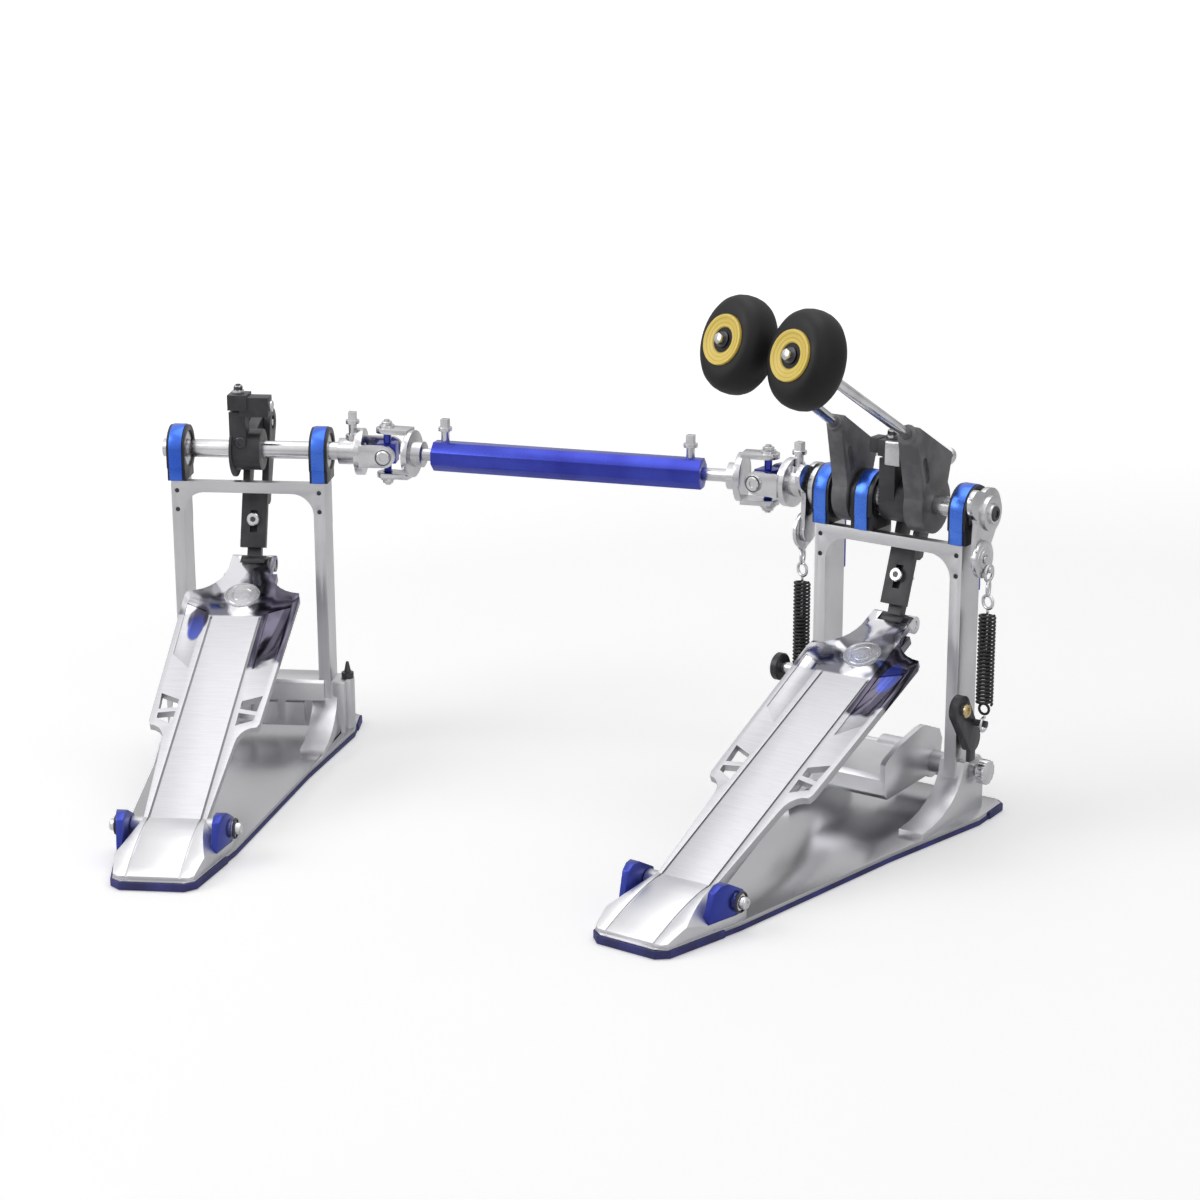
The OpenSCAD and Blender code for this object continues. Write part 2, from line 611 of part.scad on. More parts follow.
jaw_x = [-12, 28];
jaw_tail = 60;
jaw_floor = 24;
jaw_deck = tie[1] + 7;
knob_x = post_x + foot_w / 2 + 3.4;
module hoop_jaw() color(aluminium) difference() {
    union() {
        side_plate(jaw_x[0], jaw_x[1]) {
            translate(tie) circle(tie_d / 2 + 4);
            strap(tie, 9, [28, 26], 5);
            strap([27.5, 25], 4.4, [31, 17], 2.5);
        }
        side_plate(-jaw_x[1], jaw_x[1]) polygon([[tie[0], tie[1] - 8], [-jaw_tail + 4, jaw_floor],
            [-jaw_tail, jaw_floor + 4], [-jaw_tail, jaw_deck - 3], [-jaw_tail + 3, jaw_deck], [tie[0], jaw_deck]]);
        side_plate(jaw_x[1] - 4, jaw_x[1]) polygon([[-jaw_tail, jaw_floor + 4], [-jaw_tail, jaw_deck + 8],
            [-jaw_tail + 4, jaw_deck + 11], [-40, jaw_deck + 17], [-14, jaw_deck + 22], [-6, jaw_deck + 22],
            [14, jaw_deck + 14], [18, jaw_deck + 6], [16, tie[1]]]);
    }
    translate([0, tie[0], tie[1]]) rod_x(tie_d + 2 * run_fit, -40, 40);
}
module hoop_screw() color(steel) translate([0, tie[0], tie[1]]) {
    rod_x(8, 36, knob_x + 1);
    difference() {
        rod_x(17, knob_x, knob_x + 6);
        for (a = [0:30:330]) rotate([a, 0, 0]) translate([0, 8.9, 0]) rod_x(2.2, knob_x - 1, knob_x + 7);
    }
}
module spurs() color([0.25, 0.25, 0.26]) both_sides() translate([spur_x, 0, 0]) {
    translate([0, 0, 0.3]) cylinder(d1 = 1, d2 = 5, h = 5);
    translate([0, 0, 5.3]) cylinder(d = 5, h = base_top + foot_h);
    translate([0, 0, base_top + foot_h + 0.3]) cylinder(d = 9, h = 4);
    translate([0, 0, base_top + foot_h + 5.3]) cylinder(d1 = 5, d2 = 2, h = 7);
}

// Fork on an axle: the joint centre at the origin, the barrel towards +X
module joint_hub(length) color(steel) difference() {
    union() {
        for (s = [-1, 1]) translate([0, s * (fork_in + fork_half) / 2, 0]) {
            translate([0, -(fork_half - fork_in) / 2, -fork_w / 2]) cube([18, fork_half - fork_in, fork_w]);
            rotate([90, 0, 0]) cylinder(d = fork_w, h = fork_half - fork_in, center = true);
        }
        for (s = [-1, 1]) translate([0, s * fork_half, 0]) rotate([-90 * s, 0, 0]) cylinder(d = 12, h = 2);
        rod_x(2 * fork_half - 2, 16.5, 22);
        rod_x(2 * hub_r, 21, length);
        translate([hub_bolt, 0, 0]) cylinder(d = 10.5, h = hub_r + 3);
    }
    translate([0, 0, 0]) rotate([90, 0, 0]) cylinder(d = cross_pin_d + 2 * run_fit, h = 2 * fork_half - 1, center = true);
    rod_x(axle_d + 2 * run_fit, 15, length + 5);
}
// Cross: block with four pins
module joint_cross() color(blue) {
    cube([14, 14, 14], center = true);
    rotate([90, 0, 0]) cylinder(d = cross_pin_d, h = 2 * fork_half - 2, center = true);
    cylinder(d = cross_pin_d, h = 2 * fork_half - 2, center = true);
}
// Fork on a shaft rod: the joint centre at the origin, the rod towards +X
module joint_rod(length) color(steel) difference() {
    union() {
        for (s = [-1, 1]) translate([0, 0, s * (fork_in + fork_half) / 2]) {
            translate([0, -fork_w / 2, -(fork_half - fork_in) / 2]) cube([18, fork_w, fork_half - fork_in]);
            cylinder(d = fork_w, h = fork_half - fork_in, center = true);
        }
        for (s = [-1, 1]) translate([0, 0, s * (fork_half + 1)]) cylinder(d = 11, h = 2, center = true);
        rod_x(2 * fork_half - 2, 16.5, 21);
        rod_x(18.6, 20, 28);
        rod_x(shaft_d, 27, length);
    }
    cylinder(d = cross_pin_d + 2 * fork_play, h = 2 * fork_half - 1, center = true);
}
module drive_tube() color(blue) at_shaft_a() difference() {
    translate([tube_gap_a, 0, 0]) rotate([22.5, 0, 0]) rotate([0, 90, 0])
        cylinder(d = tube_af / cos(22.5), h = tube_len, $fn = 8);
    rod_x(shaft_d + 2 * run_fit, tube_gap_a - 10, tube_gap_a + tube_len + 10);
}
module tube_bolts() color(steel) at_shaft_a() for (x = [tube_gap_a + 8, tube_gap_a + tube_len - 9])
    translate([x, 0, tube_af / 2 + 0.05]) translate([0, 0, 0]) key_bolt();

module main_sole_pad() sole_pad();
module main_base_plate() base_plate();
module main_heel_plate() heel_plate();
module main_hinge_blocks() hinge_blocks();
module main_hinge_pin() hinge_pin();
module main_footboard() footboard();
module main_link_lower() link_lower();
module main_link_upper() link_upper();
module main_link_bolts() link_bolts();
module main_frame() pedal_frame(true);
module main_bearing_housings() {
    both_sides() housing(post_x, housing_w);
    housing(centre_x, centre_w);
}
module main_bearing_caps() {
    both_sides() cap(post_x);
    cap(centre_x);
}
module main_bearings() {
    both_sides() race(post_x, housing_w - 2);
    for (s = [-1, 1]) race(centre_x + s * (centre_w - 1) / 4, (centre_w - 3) / 2);
}
module main_axle() color(steel) at_axle() rod_x(axle_d, centre_x + 0.6, rocker_x + 8);
module left_axle() color(steel) at_axle() rod_x(axle_d, 19 - joint_b_x, centre_x - 0.6);
module main_cam() cam(-8, 12, 8.4);
module main_axle_bolts() color(steel) {
    cam_bolts(-8, 8.4);
    at_rod(right_lean, 0) holder_bolt(right_x);
}
module left_axle_bolts() color(steel) {
    at_rod(left_lean, 0) holder_bolt(left_x);
    translate([hub_bolt - joint_b_x, 0, axle_h + hub_r + 3.05]) key_bolt();
}
module right_beater_holder() at_rod(right_lean, 0) beater_holder(right_x);
module left_beater_holder() at_rod(left_lean, 0) beater_holder(left_x);
module right_beater_rod() at_rod(right_lean, 0) beater_rod(right_reach, right_x);
module left_beater_rod() at_rod(left_lean, 0) beater_rod(left_reach, left_x);
module right_beater_head() at_rod(right_lean, 0) beater_head(right_reach, right_x);
module left_beater_head() at_rod(left_lean, 0) beater_head(left_reach, left_x);
module right_beater_disc() at_rod(right_lean, 0) beater_disc(right_reach, right_x);
module left_beater_disc() at_rod(left_lean, 0) beater_disc(left_reach, left_x);
module right_rocker() rocker();
module left_rocker() mirror([1, 0, 0]) rocker();
module right_spring_hanger() spring_hanger();
module left_spring_hanger() mirror([1, 0, 0]) spring_hanger();
module right_spring() main_spring();
module left_spring() mirror([1, 0, 0]) main_spring();
module spring_adjusters() both_sides() spring_adjuster();
module slave_sole_pad() at_slave() sole_pad(true);
module slave_base_plate() at_slave() base_plate(true);
module slave_heel_plate() at_slave() heel_plate();
module slave_hinge_blocks() at_slave() hinge_blocks();
module slave_hinge_pin() at_slave() hinge_pin();
module slave_footboard() at_slave() footboard();
module slave_link_lower() at_slave() link_lower();
module slave_link_upper() at_slave() link_upper();
module slave_link_bolts() at_slave() link_bolts();
module slave_frame() at_slave() pedal_frame(false);
module slave_bearing_housings() at_slave() both_sides() housing(post_x, housing_w);
module slave_bearing_caps() at_slave() both_sides() cap(post_x);
module slave_bearings() at_slave() both_sides() race(post_x, housing_w - 2);
module slave_axle() color(steel) at_slave() at_axle() rod_x(axle_d, -post_x - 12, joint_a_x - 19);
module slave_cam() at_slave() cam(-12, 9, 17);
module slave_axle_bolts() color(steel) {
    at_slave() cam_bolts(-12, 17);
    at_joint_a() translate([-hub_bolt, 0, hub_r + 3.05]) key_bolt();
}
module slave_spurs() at_slave() spurs();
module joint_a_hub() at_joint_a() rotate([0, 0, 180]) joint_hub(hub_len_a);
module cross_a() at_joint_a() joint_cross();
module joint_a_rod() at_shaft_a() joint_rod(tube_gap_a + 65);
module joint_b_rod() at_shaft_b() joint_rod(tube_gap_b + 80);
module cross_b() at_joint_b() joint_cross();
module joint_b_hub() at_joint_b() joint_hub(hub_len_b);

main_sole_pad();
main_base_plate();
main_heel_plate();
main_hinge_blocks();
main_hinge_pin();
main_footboard();
main_link_lower();
main_link_upper();
main_link_bolts();
main_frame();
main_bearing_housings();
main_bearing_caps();
main_bearings();
main_axle();
main_cam();
main_axle_bolts();
left_axle();
left_axle_bolts();
right_beater_holder();
left_beater_holder();
right_beater_rod();
left_beater_rod();
right_beater_head();
left_beater_head();
right_beater_disc();
left_beater_disc();
right_rocker();
left_rocker();
right_spring_hanger();
left_spring_hanger();
right_spring();
left_spring();
spring_adjusters();
hoop_jaw();
hoop_screw();
slave_sole_pad();
slave_base_plate();
slave_heel_plate();
slave_hinge_blocks();
slave_hinge_pin();
slave_footboard();
slave_link_lower();
slave_link_upper();
slave_link_bolts();
slave_frame();
slave_bearing_housings();
slave_bearing_caps();
slave_bearings();
slave_axle();
slave_cam();
slave_axle_bolts();
slave_spurs();
joint_a_hub();
cross_a();
joint_a_rod();
drive_tube();
tube_bolts();
joint_b_rod();
cross_b();
joint_b_hub();
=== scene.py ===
# %% [markdown]
# # A double bass drum pedal
# Two footboards on floor plates drive two beaters. The right-hand (main) pedal carries both
# beaters; the left-hand (slave) pedal turns the second one through a telescopic shaft with two
# universal joints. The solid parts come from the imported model, and this lesson gives them their
# finishes, replaces a few pieces with finer ones, and sets up the camera and the light.

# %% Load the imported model
import json
import math

import bmesh
import bpy
from mathutils import Matrix, Vector


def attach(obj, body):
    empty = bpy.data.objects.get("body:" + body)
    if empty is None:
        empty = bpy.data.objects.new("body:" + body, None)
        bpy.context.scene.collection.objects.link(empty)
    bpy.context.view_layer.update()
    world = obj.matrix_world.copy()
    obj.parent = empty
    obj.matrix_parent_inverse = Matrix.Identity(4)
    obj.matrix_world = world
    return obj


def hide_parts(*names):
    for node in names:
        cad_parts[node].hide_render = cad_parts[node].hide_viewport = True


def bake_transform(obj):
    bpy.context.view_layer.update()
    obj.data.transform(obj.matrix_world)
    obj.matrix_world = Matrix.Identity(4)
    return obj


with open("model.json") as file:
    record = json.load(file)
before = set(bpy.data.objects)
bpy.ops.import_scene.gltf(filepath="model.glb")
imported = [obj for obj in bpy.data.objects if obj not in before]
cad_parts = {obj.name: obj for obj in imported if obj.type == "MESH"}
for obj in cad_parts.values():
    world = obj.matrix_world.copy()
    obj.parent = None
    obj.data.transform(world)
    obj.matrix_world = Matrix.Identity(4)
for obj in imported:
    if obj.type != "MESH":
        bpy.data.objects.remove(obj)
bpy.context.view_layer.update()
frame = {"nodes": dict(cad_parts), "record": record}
node = frame["nodes"]

# %% [markdown]
# ## The camera
# The photograph was taken from the player's right, a little above the boards, with a long lens,
# so parallel edges stay nearly parallel. The place and the angles were solved from the edges of
# the floor plates and posts. Yaw turns about the vertical, and pitch looks down.

# %% Camera
camera_data = bpy.data.cameras.new("camera")
camera_data.sensor_width = 36
camera_data.lens = 83.23
camera_data.clip_end = 50
camera = bpy.data.objects.new("camera", camera_data)
camera.location = (0.8880, -1.5809, 0.6578)
yaw, pitch, roll = 0.6227, -0.27697, -0.0034
level = Matrix.Rotation(yaw, 4, "Z") @ Matrix.Rotation(math.pi / 2 + pitch, 4, "X")
camera.rotation_euler = (level @ Matrix.Rotation(roll, 4, "Z")).to_euler()
bpy.context.scene.collection.objects.link(camera)
bpy.context.scene.camera = camera
bpy.context.scene.view_settings.view_transform = "Standard"
print("camera looks from", tuple(camera.location))

# %% [markdown]
# ## Where the pedals stand
# Both pedals are the same casting. Each has its own frame: the origin on the floor under the
# axle, and the Y axis towards the drum. A footboard adds a second frame that is tilted at the
# heel hinge. Patterns and new pieces are placed in these frames, so one recipe serves both.

# %% Frames of the two pedals and their boards
AXLE_Z = 0.215
HINGE_Y, HINGE_Z = -0.253, 0.019
POST_X, CENTRE_HOUSING_X = 0.052, -0.020
slave_place = Matrix.Translation((-0.4596, -0.1359, 0)) @ Matrix.Rotation(math.radians(29.7), 4, "Z")
board_tilt = Matrix.Translation((0, HINGE_Y, HINGE_Z)) @ Matrix.Rotation(math.radians(23.9), 4, "X")
place = {"main": Matrix.Identity(4), "slave": slave_place}
board_place = {name: m @ board_tilt for name, m in place.items()}


def facing(centre, axis, where=Matrix.Identity(4)):
    """A frame at a point whose Z axis looks along the given direction."""
    return where @ Matrix.Translation(centre) @ Vector(axis).to_track_quat("Z", "Y").to_matrix().to_4x4()


print("slave axle centre", tuple(round(v, 4) for v in slave_place @ Vector((0, 0, AXLE_Z))))

# %% [markdown]
# ## Building materials from nodes
# Every finish is one Principled shader with a few procedural nodes in front of it. The helper
# keeps the node code short: it makes a node, sets its sockets by name and links what it is given.
# The world's nodes at the end are built with the same helper.


# %% Node helper
class Nodes:
    """A node tree, for writing shader graphs in few words."""

    def __init__(self, tree):
        self.tree = tree

    def feed(self, socket, value):
        """Link a socket to a socket, or set it to a value."""
        if isinstance(value, bpy.types.NodeSocket):
            self.tree.links.new(value, socket)
        else:
            socket.default_value = value

    def set(self, target, **sockets):
        for key, value in sockets.items():
            self.feed(target.inputs[key.replace("_", " ")], value)

    def add(self, kind, settings=None, **sockets):
        made = self.tree.nodes.new("ShaderNode" + kind)
        for key, value in (settings or {}).items():
            setattr(made, key, value)
        self.set(made, **sockets)
        return made

    def coordinates(self, where=Matrix.Identity(4)):
        """Object coordinates, turned into the frame of a pedal or a board."""
        vector = self.add("TexCoord").outputs["Object"]
        inverse = where.inverted()
        move, turn = inverse.to_translation(), inverse.to_euler()
        return self.add("Mapping", Vector=vector, Location=move, Rotation=turn).outputs[0]

    def stretched(self, vector, scale):
        return self.add("Mapping", Vector=vector, Scale=scale).outputs[0]

    def noise(self, vector, scale, detail=3.0):
        return self.add("TexNoise", Vector=vector, Scale=scale, Detail=detail, Roughness=0.5).outputs["Fac"]

    def span(self, value, low, high, to_low=0.0, to_high=1.0):
        """Map a range to another, held at its ends."""
        ends = {"From_Min": low, "From_Max": high, "To_Min": to_low, "To_Max": to_high}
        made = self.add("MapRange", Value=value, **ends)
        return made.outputs["Result"]

    def maths(self, operation, a, b=0.0):
        made = self.add("Math", {"operation": operation})
        self.feed(made.inputs[0], a)
        self.feed(made.inputs[1], b)
        return made.outputs[0]

    def highest(self, first, *others):
        """The largest of several values."""
        for other in others:
            first = self.maths("MAXIMUM", first, other)
        return first

    def vector_maths(self, operation, a, b=None, output="Vector"):
        made = self.add("VectorMath", {"operation": operation})
        self.feed(made.inputs[0], a)
        if b is not None:
            self.feed(made.inputs[1], b)
        return made.outputs[output]

    def blend(self, factor, a, b):
        """Between two colours."""
        made = self.add("Mix", {"data_type": "RGBA"})
        for index, value in ((0, factor), (6, a), (7, b)):
            if isinstance(value, tuple) and len(value) == 3:
                value = (*value, 1)
            self.feed(made.inputs[index], value)
        return made.outputs[2]

    def choose(self, factor, a, b):
        """Between two numbers."""
        return self.add("Mix", Factor=factor, A=a, B=b).outputs["Result"]


class Finish(Nodes):
    """A material with one Principled shader."""

    def __init__(self, name, **sockets):
        self.material = bpy.data.materials.new(name)
        self.material.use_nodes = True
        super().__init__(self.material.node_tree)
        self.shader = next(n for n in self.tree.nodes if n.type == "BSDF_PRINCIPLED")
        self.shade(**sockets)

    def shade(self, **sockets):
        self.set(self.shader, **sockets)

    def bump(self, height, distance):
        self.shade(Normal=self.add("Bump", Height=height, Distance=distance, Strength=1.0).outputs[0])


print("node helper ready")

# %% [markdown]
# ## Satin cast aluminium
# Frame, heel plates and boards are cast, blasted and brushed. A blasted surface is a metal with a
# middling roughness; very fine noise in the roughness and a bump of a few hundredths of a
# millimetre give its grain, and a slow noise in the colour keeps large faces from looking flat.


# %% Satin aluminium
def satin_aluminium(name, colour, rough=0.36, grain=0.00003):
    finish = Finish(name, Metallic=1.0)
    vector = finish.coordinates()
    fine = finish.noise(vector, 2600, 2)
    slow = finish.noise(vector, 22, 3)
    tone = finish.span(slow, 0.3, 0.7, 0.0, 1.0)
    darker = tuple(c * 0.87 for c in colour)
    finish.shade(Base_Color=finish.blend(tone, darker, colour))
    finish.shade(Roughness=finish.span(fine, 0.25, 0.75, rough - 0.06, rough + 0.08))
    finish.bump(fine, grain)
    return finish


casting = satin_aluminium("satin cast aluminium", (0.74, 0.74, 0.76))
print("made", casting.material.name)

# %% [markdown]
# ## The boards: brushed below, polished at the toe
# The foot rests on a brushed panel, and the upper end of the board is polished like a mirror.
# One material holds both: the distance along the board drives the roughness. The polished end
# shows dark and blue reflections of the castings above it on the real pedal; here they are
# painted into its colour as painted reflections: dark blotches, a dark blue-grey side and a blue oval.


# %% Board material
# X is measured from the board's centre line, and the toe from the hinge
GROOVE_X = 0.0175
TOE_FROM, TOE_FULL = 0.206, 0.208
WING_INNER, WING_OUTER = 0.0180, 0.0455
# The polished end's pale metal, then the colours of its painted reflections: dark, dark blue-grey and blue
PALE, PAINTED_DARK_REFLECTION = (0.74, 0.74, 0.77), (0.19, 0.19, 0.23)
PAINTED_SLATE_REFLECTION, PAINTED_DEEP_SLATE_REFLECTION = (0.115, 0.105, 0.145), (0.050, 0.046, 0.070)
PAINTED_BLUE_REFLECTION, PAINTED_DEEP_BLUE_REFLECTION = (0.085, 0.125, 0.58), (0.030, 0.045, 0.26)


def oval(finish, vector, centre, size):
    """1 inside an oval on the board's face, 0 outside it."""
    offset = finish.vector_maths("SUBTRACT", vector, centre)
    scaled = finish.vector_maths("DIVIDE", offset, (*size, 1.0))
    return finish.span(finish.vector_maths("LENGTH", scaled, output="Value"), 1.12, 0.88)


def grooves(finish, across, along):
    """1 in the two narrow grooves beside the panel, which end at the toe."""
    off_line = finish.maths("ABSOLUTE", finish.maths("SUBTRACT", across, GROOVE_X))
    line = finish.span(off_line, 0.0010, 0.0005)
    return finish.maths("MULTIPLY", line, finish.span(along, TOE_FULL, TOE_FROM))


def polished_wing(finish, vector, axes, low_end):
    """1 on the right-hand wing, which is polished lower down, along a wavy border."""
    wave = finish.span(finish.noise(vector, 40, 2), 0.0, 1.0, -0.022, 0.022)
    above = finish.span(finish.maths("ADD", axes["Y"], wave), low_end, low_end + 0.005)
    inner = finish.span(axes["X"], WING_INNER, WING_INNER + 0.0006)
    outer = finish.span(axes["X"], WING_OUTER, WING_OUTER - 0.0005)
    return finish.maths("MULTIPLY", finish.maths("MULTIPLY", above, inner), outer)


def board_metal(name, where, painted_spot_at, painted_spot_size, wing_from, painted_slate_from):
    """Brushed panel and polished toe, with a painted blue reflection in a painted dark oval on the toe or the
    wing, among other painted dark reflections.
    """
    finish = Finish(name, Metallic=1.0)
    vector = finish.coordinates(where)
    axes = finish.add("SeparateXYZ", Vector=vector).outputs
    along = axes["Y"]
    brushed = finish.noise(finish.stretched(vector, (1, 30, 30)), 60, 3)
    fine = finish.noise(vector, 2400, 2)
    groove = grooves(finish, finish.maths("ABSOLUTE", axes["X"]), along)

    x, y, z = painted_spot_at
    wide, high = painted_spot_size
    # Painted reflection: a blue oval, lighter towards the hinge and deeper towards the toe, in place of the
    # blue castings mirrored there
    painted_blue_spot = oval(finish, vector, painted_spot_at, painted_spot_size)
    # Painted reflection: a dark oval a little above the blue one, which frames it
    painted_dark_frame = oval(finish, vector, (x, y + 0.009, z), (wide * 1.35, high * 1.1))
    wing = polished_wing(finish, vector, axes, wing_from)
    toe = finish.span(along, TOE_FROM, TOE_FULL)
    polished = finish.highest(toe, wing, painted_blue_spot, painted_dark_frame)

    # Painted reflection: a noise lays dark blotches over the pale polished metal, and picks between two
    # shades of painted dark blue-grey
    painted_reflection_noise = finish.noise(finish.stretched(vector, (1.0, 0.7, 1.0)), 46, 2)
    bright = finish.blend(finish.span(painted_reflection_noise, 0.44, 0.56), PALE, PAINTED_DARK_REFLECTION)
    painted_slate = finish.blend(finish.span(painted_reflection_noise, 0.40, 0.62), PAINTED_SLATE_REFLECTION, PAINTED_DEEP_SLATE_REFLECTION)
    painted_blue_gradient = finish.blend(finish.span(along, y - 0.010, y + 0.010), PAINTED_BLUE_REFLECTION, PAINTED_DEEP_BLUE_REFLECTION)
    # Painted reflection: dark blue-grey on the wing, in the frame round the blue oval and to the right of a
    # line across the toe
    painted_slate_side = finish.span(axes["X"], painted_slate_from, painted_slate_from + 0.003)
    dark = finish.highest(wing, painted_dark_frame, painted_slate_side)
    # The polished end's colour is made of these painted reflections, with the painted blue oval over the rest
    painted_mirror_colour = finish.blend(painted_blue_spot, finish.blend(dark, bright, painted_slate), painted_blue_gradient)

    satin = finish.blend(finish.span(brushed, 0.3, 0.7), (0.53, 0.53, 0.55), (0.60, 0.60, 0.62))
    metal = finish.blend(polished, satin, painted_mirror_colour)
    rough = finish.span(fine, 0.25, 0.75, 0.40, 0.52)
    finish.shade(
        Base_Color=finish.blend(groove, metal, (0.24, 0.24, 0.25)),
        # The painted blue reflection is made less metallic, so that its blue shows as colour
        Metallic=finish.span(painted_blue_spot, 0, 1, 1.0, 0.45),
        Roughness=finish.maths("MULTIPLY", rough, finish.span(polished, 0.0, 1.0, 1.0, 0.24)),
    )
    finish.bump(finish.maths("MULTIPLY", brushed, finish.span(polished, 0, 1, 1, 0)), 0.00002)
    return finish


# The place and size of the painted blue reflection, where the polished wing starts, and how far to the right
# the toe turns to painted dark reflection; on the main board that is beyond its edge
BOARD_LOOK = {
    "main": ((0.0300, 0.213, 0.006), (0.0058, 0.0145), 0.172, 0.9),
    "slave": ((-0.0265, 0.194, 0.006), (0.0056, 0.0135), 0.150, 0.012),
}
board_finish = {
    name: board_metal(name + " board metal", board_place[name], *look) for name, look in BOARD_LOOK.items()
}
print("boards:", ", ".join(f.material.name for f in board_finish.values()))

# %% [markdown]
# ## Floor plates
# The plates are rolled steel with a fine brushed lay that runs from heel to toe. Stretching a
# noise along that direction gives the lay, and a low roughness lets the boards mirror softly.


# %% Brushed plate
def brushed_plate(name, where):
    finish = Finish(name, Metallic=1.0)
    vector = finish.coordinates(where)
    lay = finish.noise(finish.stretched(vector, (50, 1, 50)), 30, 2)
    slow = finish.span(finish.noise(vector, 12, 2), 0.3, 0.7, 0.88, 1.0)
    tone = finish.maths("MULTIPLY", finish.span(lay, 0.2, 0.8, 0.95, 1.0), slow)
    finish.shade(Base_Color=finish.blend(tone, (0.22, 0.22, 0.23), (0.57, 0.57, 0.59)))
    finish.shade(Roughness=finish.span(lay, 0.2, 0.8, 0.20, 0.26))
    return finish


plate_finish = {name: brushed_plate(name + " plate metal", m) for name, m in place.items()}
print("plates:", len(plate_finish))

# %% [markdown]
# ## Blue anodised aluminium
# Anodising is a dyed, glassy skin on metal: a saturated metallic colour with a satin roughness
# and a thin clear coat. The caps look lighter where they face the light.


# %% Blue anodised
def anodised(name, colour, light, rough=0.26):
    finish = Finish(name, Metallic=0.82, Coat_Weight=0.25, Coat_Roughness=0.18)
    vector = finish.coordinates()
    fine = finish.noise(vector, 1800, 2)
    slow = finish.noise(vector, 30, 2)
    finish.shade(Base_Color=finish.blend(finish.span(slow, 0.35, 0.65), colour, light))
    finish.shade(Roughness=finish.span(fine, 0.25, 0.75, rough - 0.05, rough + 0.07))
    finish.bump(fine, 0.000015)
    return finish


cap_blue = anodised("blue anodised caps", (0.035, 0.125, 0.700), (0.080, 0.230, 0.860))
tube_blue = anodised("blue anodised tube", (0.028, 0.038, 0.380), (0.045, 0.065, 0.500), 0.24)
block_blue = anodised("blue hinge blocks", (0.028, 0.042, 0.330), (0.045, 0.070, 0.430), 0.34)
print("three blues")

# %% [markdown]
# ## Black castings, bright steel, rubber and spring wire
# The cams, holders and links are black powder coat with a slight orange peel. Screws, forks and
# axles are bright turned steel: fine rings of tool marks show as a noise in the roughness.


# %% Black coat and steels
def powder_coat(name, colour, rough=0.42, peel=0.00004):
    finish = Finish(name, Specular_IOR_Level=0.45)
    vector = finish.coordinates()
    peel_noise = finish.noise(vector, 900, 2)
    worn = finish.noise(vector, 60, 3)
    lighter = tuple(c * 2.0 + 0.006 for c in colour)
    finish.shade(Base_Color=finish.blend(finish.span(worn, 0.40, 0.75), colour, lighter))
    finish.shade(Roughness=finish.span(worn, 0.3, 0.7, rough - 0.07, rough + 0.10))
    finish.bump(peel_noise, peel)
    return finish


def turned_steel(name, colour, rough=0.22):
    finish = Finish(name, Metallic=1.0)
    vector = finish.coordinates()
    marks = finish.noise(vector, 900, 3)
    slow = finish.noise(vector, 45, 2)
    darker = tuple(c * 0.78 for c in colour)
    finish.shade(Base_Color=finish.blend(finish.span(slow, 0.35, 0.65), darker, colour))
    finish.shade(Roughness=finish.span(marks, 0.25, 0.75, rough - 0.07, rough + 0.08))
    finish.bump(marks, 0.00001)
    return finish


black_coat = powder_coat("black powder coat", (0.034, 0.034, 0.038), 0.36)
holder_coat = powder_coat("dark grey holder coat", (0.100, 0.100, 0.106), 0.40)
housing_coat = powder_coat("black housing coat", (0.010, 0.010, 0.012), 0.32)
bright_steel = turned_steel("bright turned steel", (0.78, 0.78, 0.80))
fork_steel = turned_steel("satin fork castings", (0.72, 0.72, 0.74), 0.22)
rod_chrome = turned_steel("chromed rod", (0.80, 0.80, 0.82), 0.16)
dark_steel = turned_steel("dark blued steel", (0.10, 0.10, 0.11), 0.34)
spring_wire = powder_coat("black spring wire", (0.010, 0.010, 0.011), 0.30)
sole_rubber = powder_coat("dark blue sole rubber", (0.028, 0.028, 0.130), 0.55, 0.00006)
print("blacks, steels and rubber ready")

# %% [markdown]
# ## Beater plastics
# The head is a dense black plastic with a dull skin. The disc in its face is a yellow plastic
# with turned rings; a wave on the distance from the disc's centre draws them.


# %% Head and disc materials
head_black = powder_coat("black beater head", (0.0012, 0.0012, 0.0015), 0.50, 0.00003)
head_black.shade(Specular_IOR_Level=0.36)


def ringed_yellow(name, centre, axis):
    finish = Finish(name, Specular_IOR_Level=0.5)
    vector = finish.coordinates(facing(centre, axis))
    flat = finish.vector_maths("MULTIPLY", vector, (1, 1, 0))
    from_axis = finish.vector_maths("LENGTH", flat, output="Value")
    rings = finish.maths("SINE", finish.maths("MULTIPLY", from_axis, 2400))
    tone = finish.span(rings, 0.55, 0.95)
    finish.shade(Base_Color=finish.blend(tone, (0.94, 0.72, 0.16), (0.78, 0.53, 0.07)))
    finish.shade(Roughness=finish.span(finish.noise(vector, 300), 0.3, 0.7, 0.30, 0.42))
    finish.bump(rings, 0.00006)
    return finish


print("plastics ready")

# %% [markdown]
# ## Dressing the solid nodes
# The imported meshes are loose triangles. Three modifiers make them look machined without touching
# the mesh: a weld joins the triangles, a small bevel breaks every sharp edge so that it catches
# the light, and a geometry-nodes group smooths the shading across shallow angles.


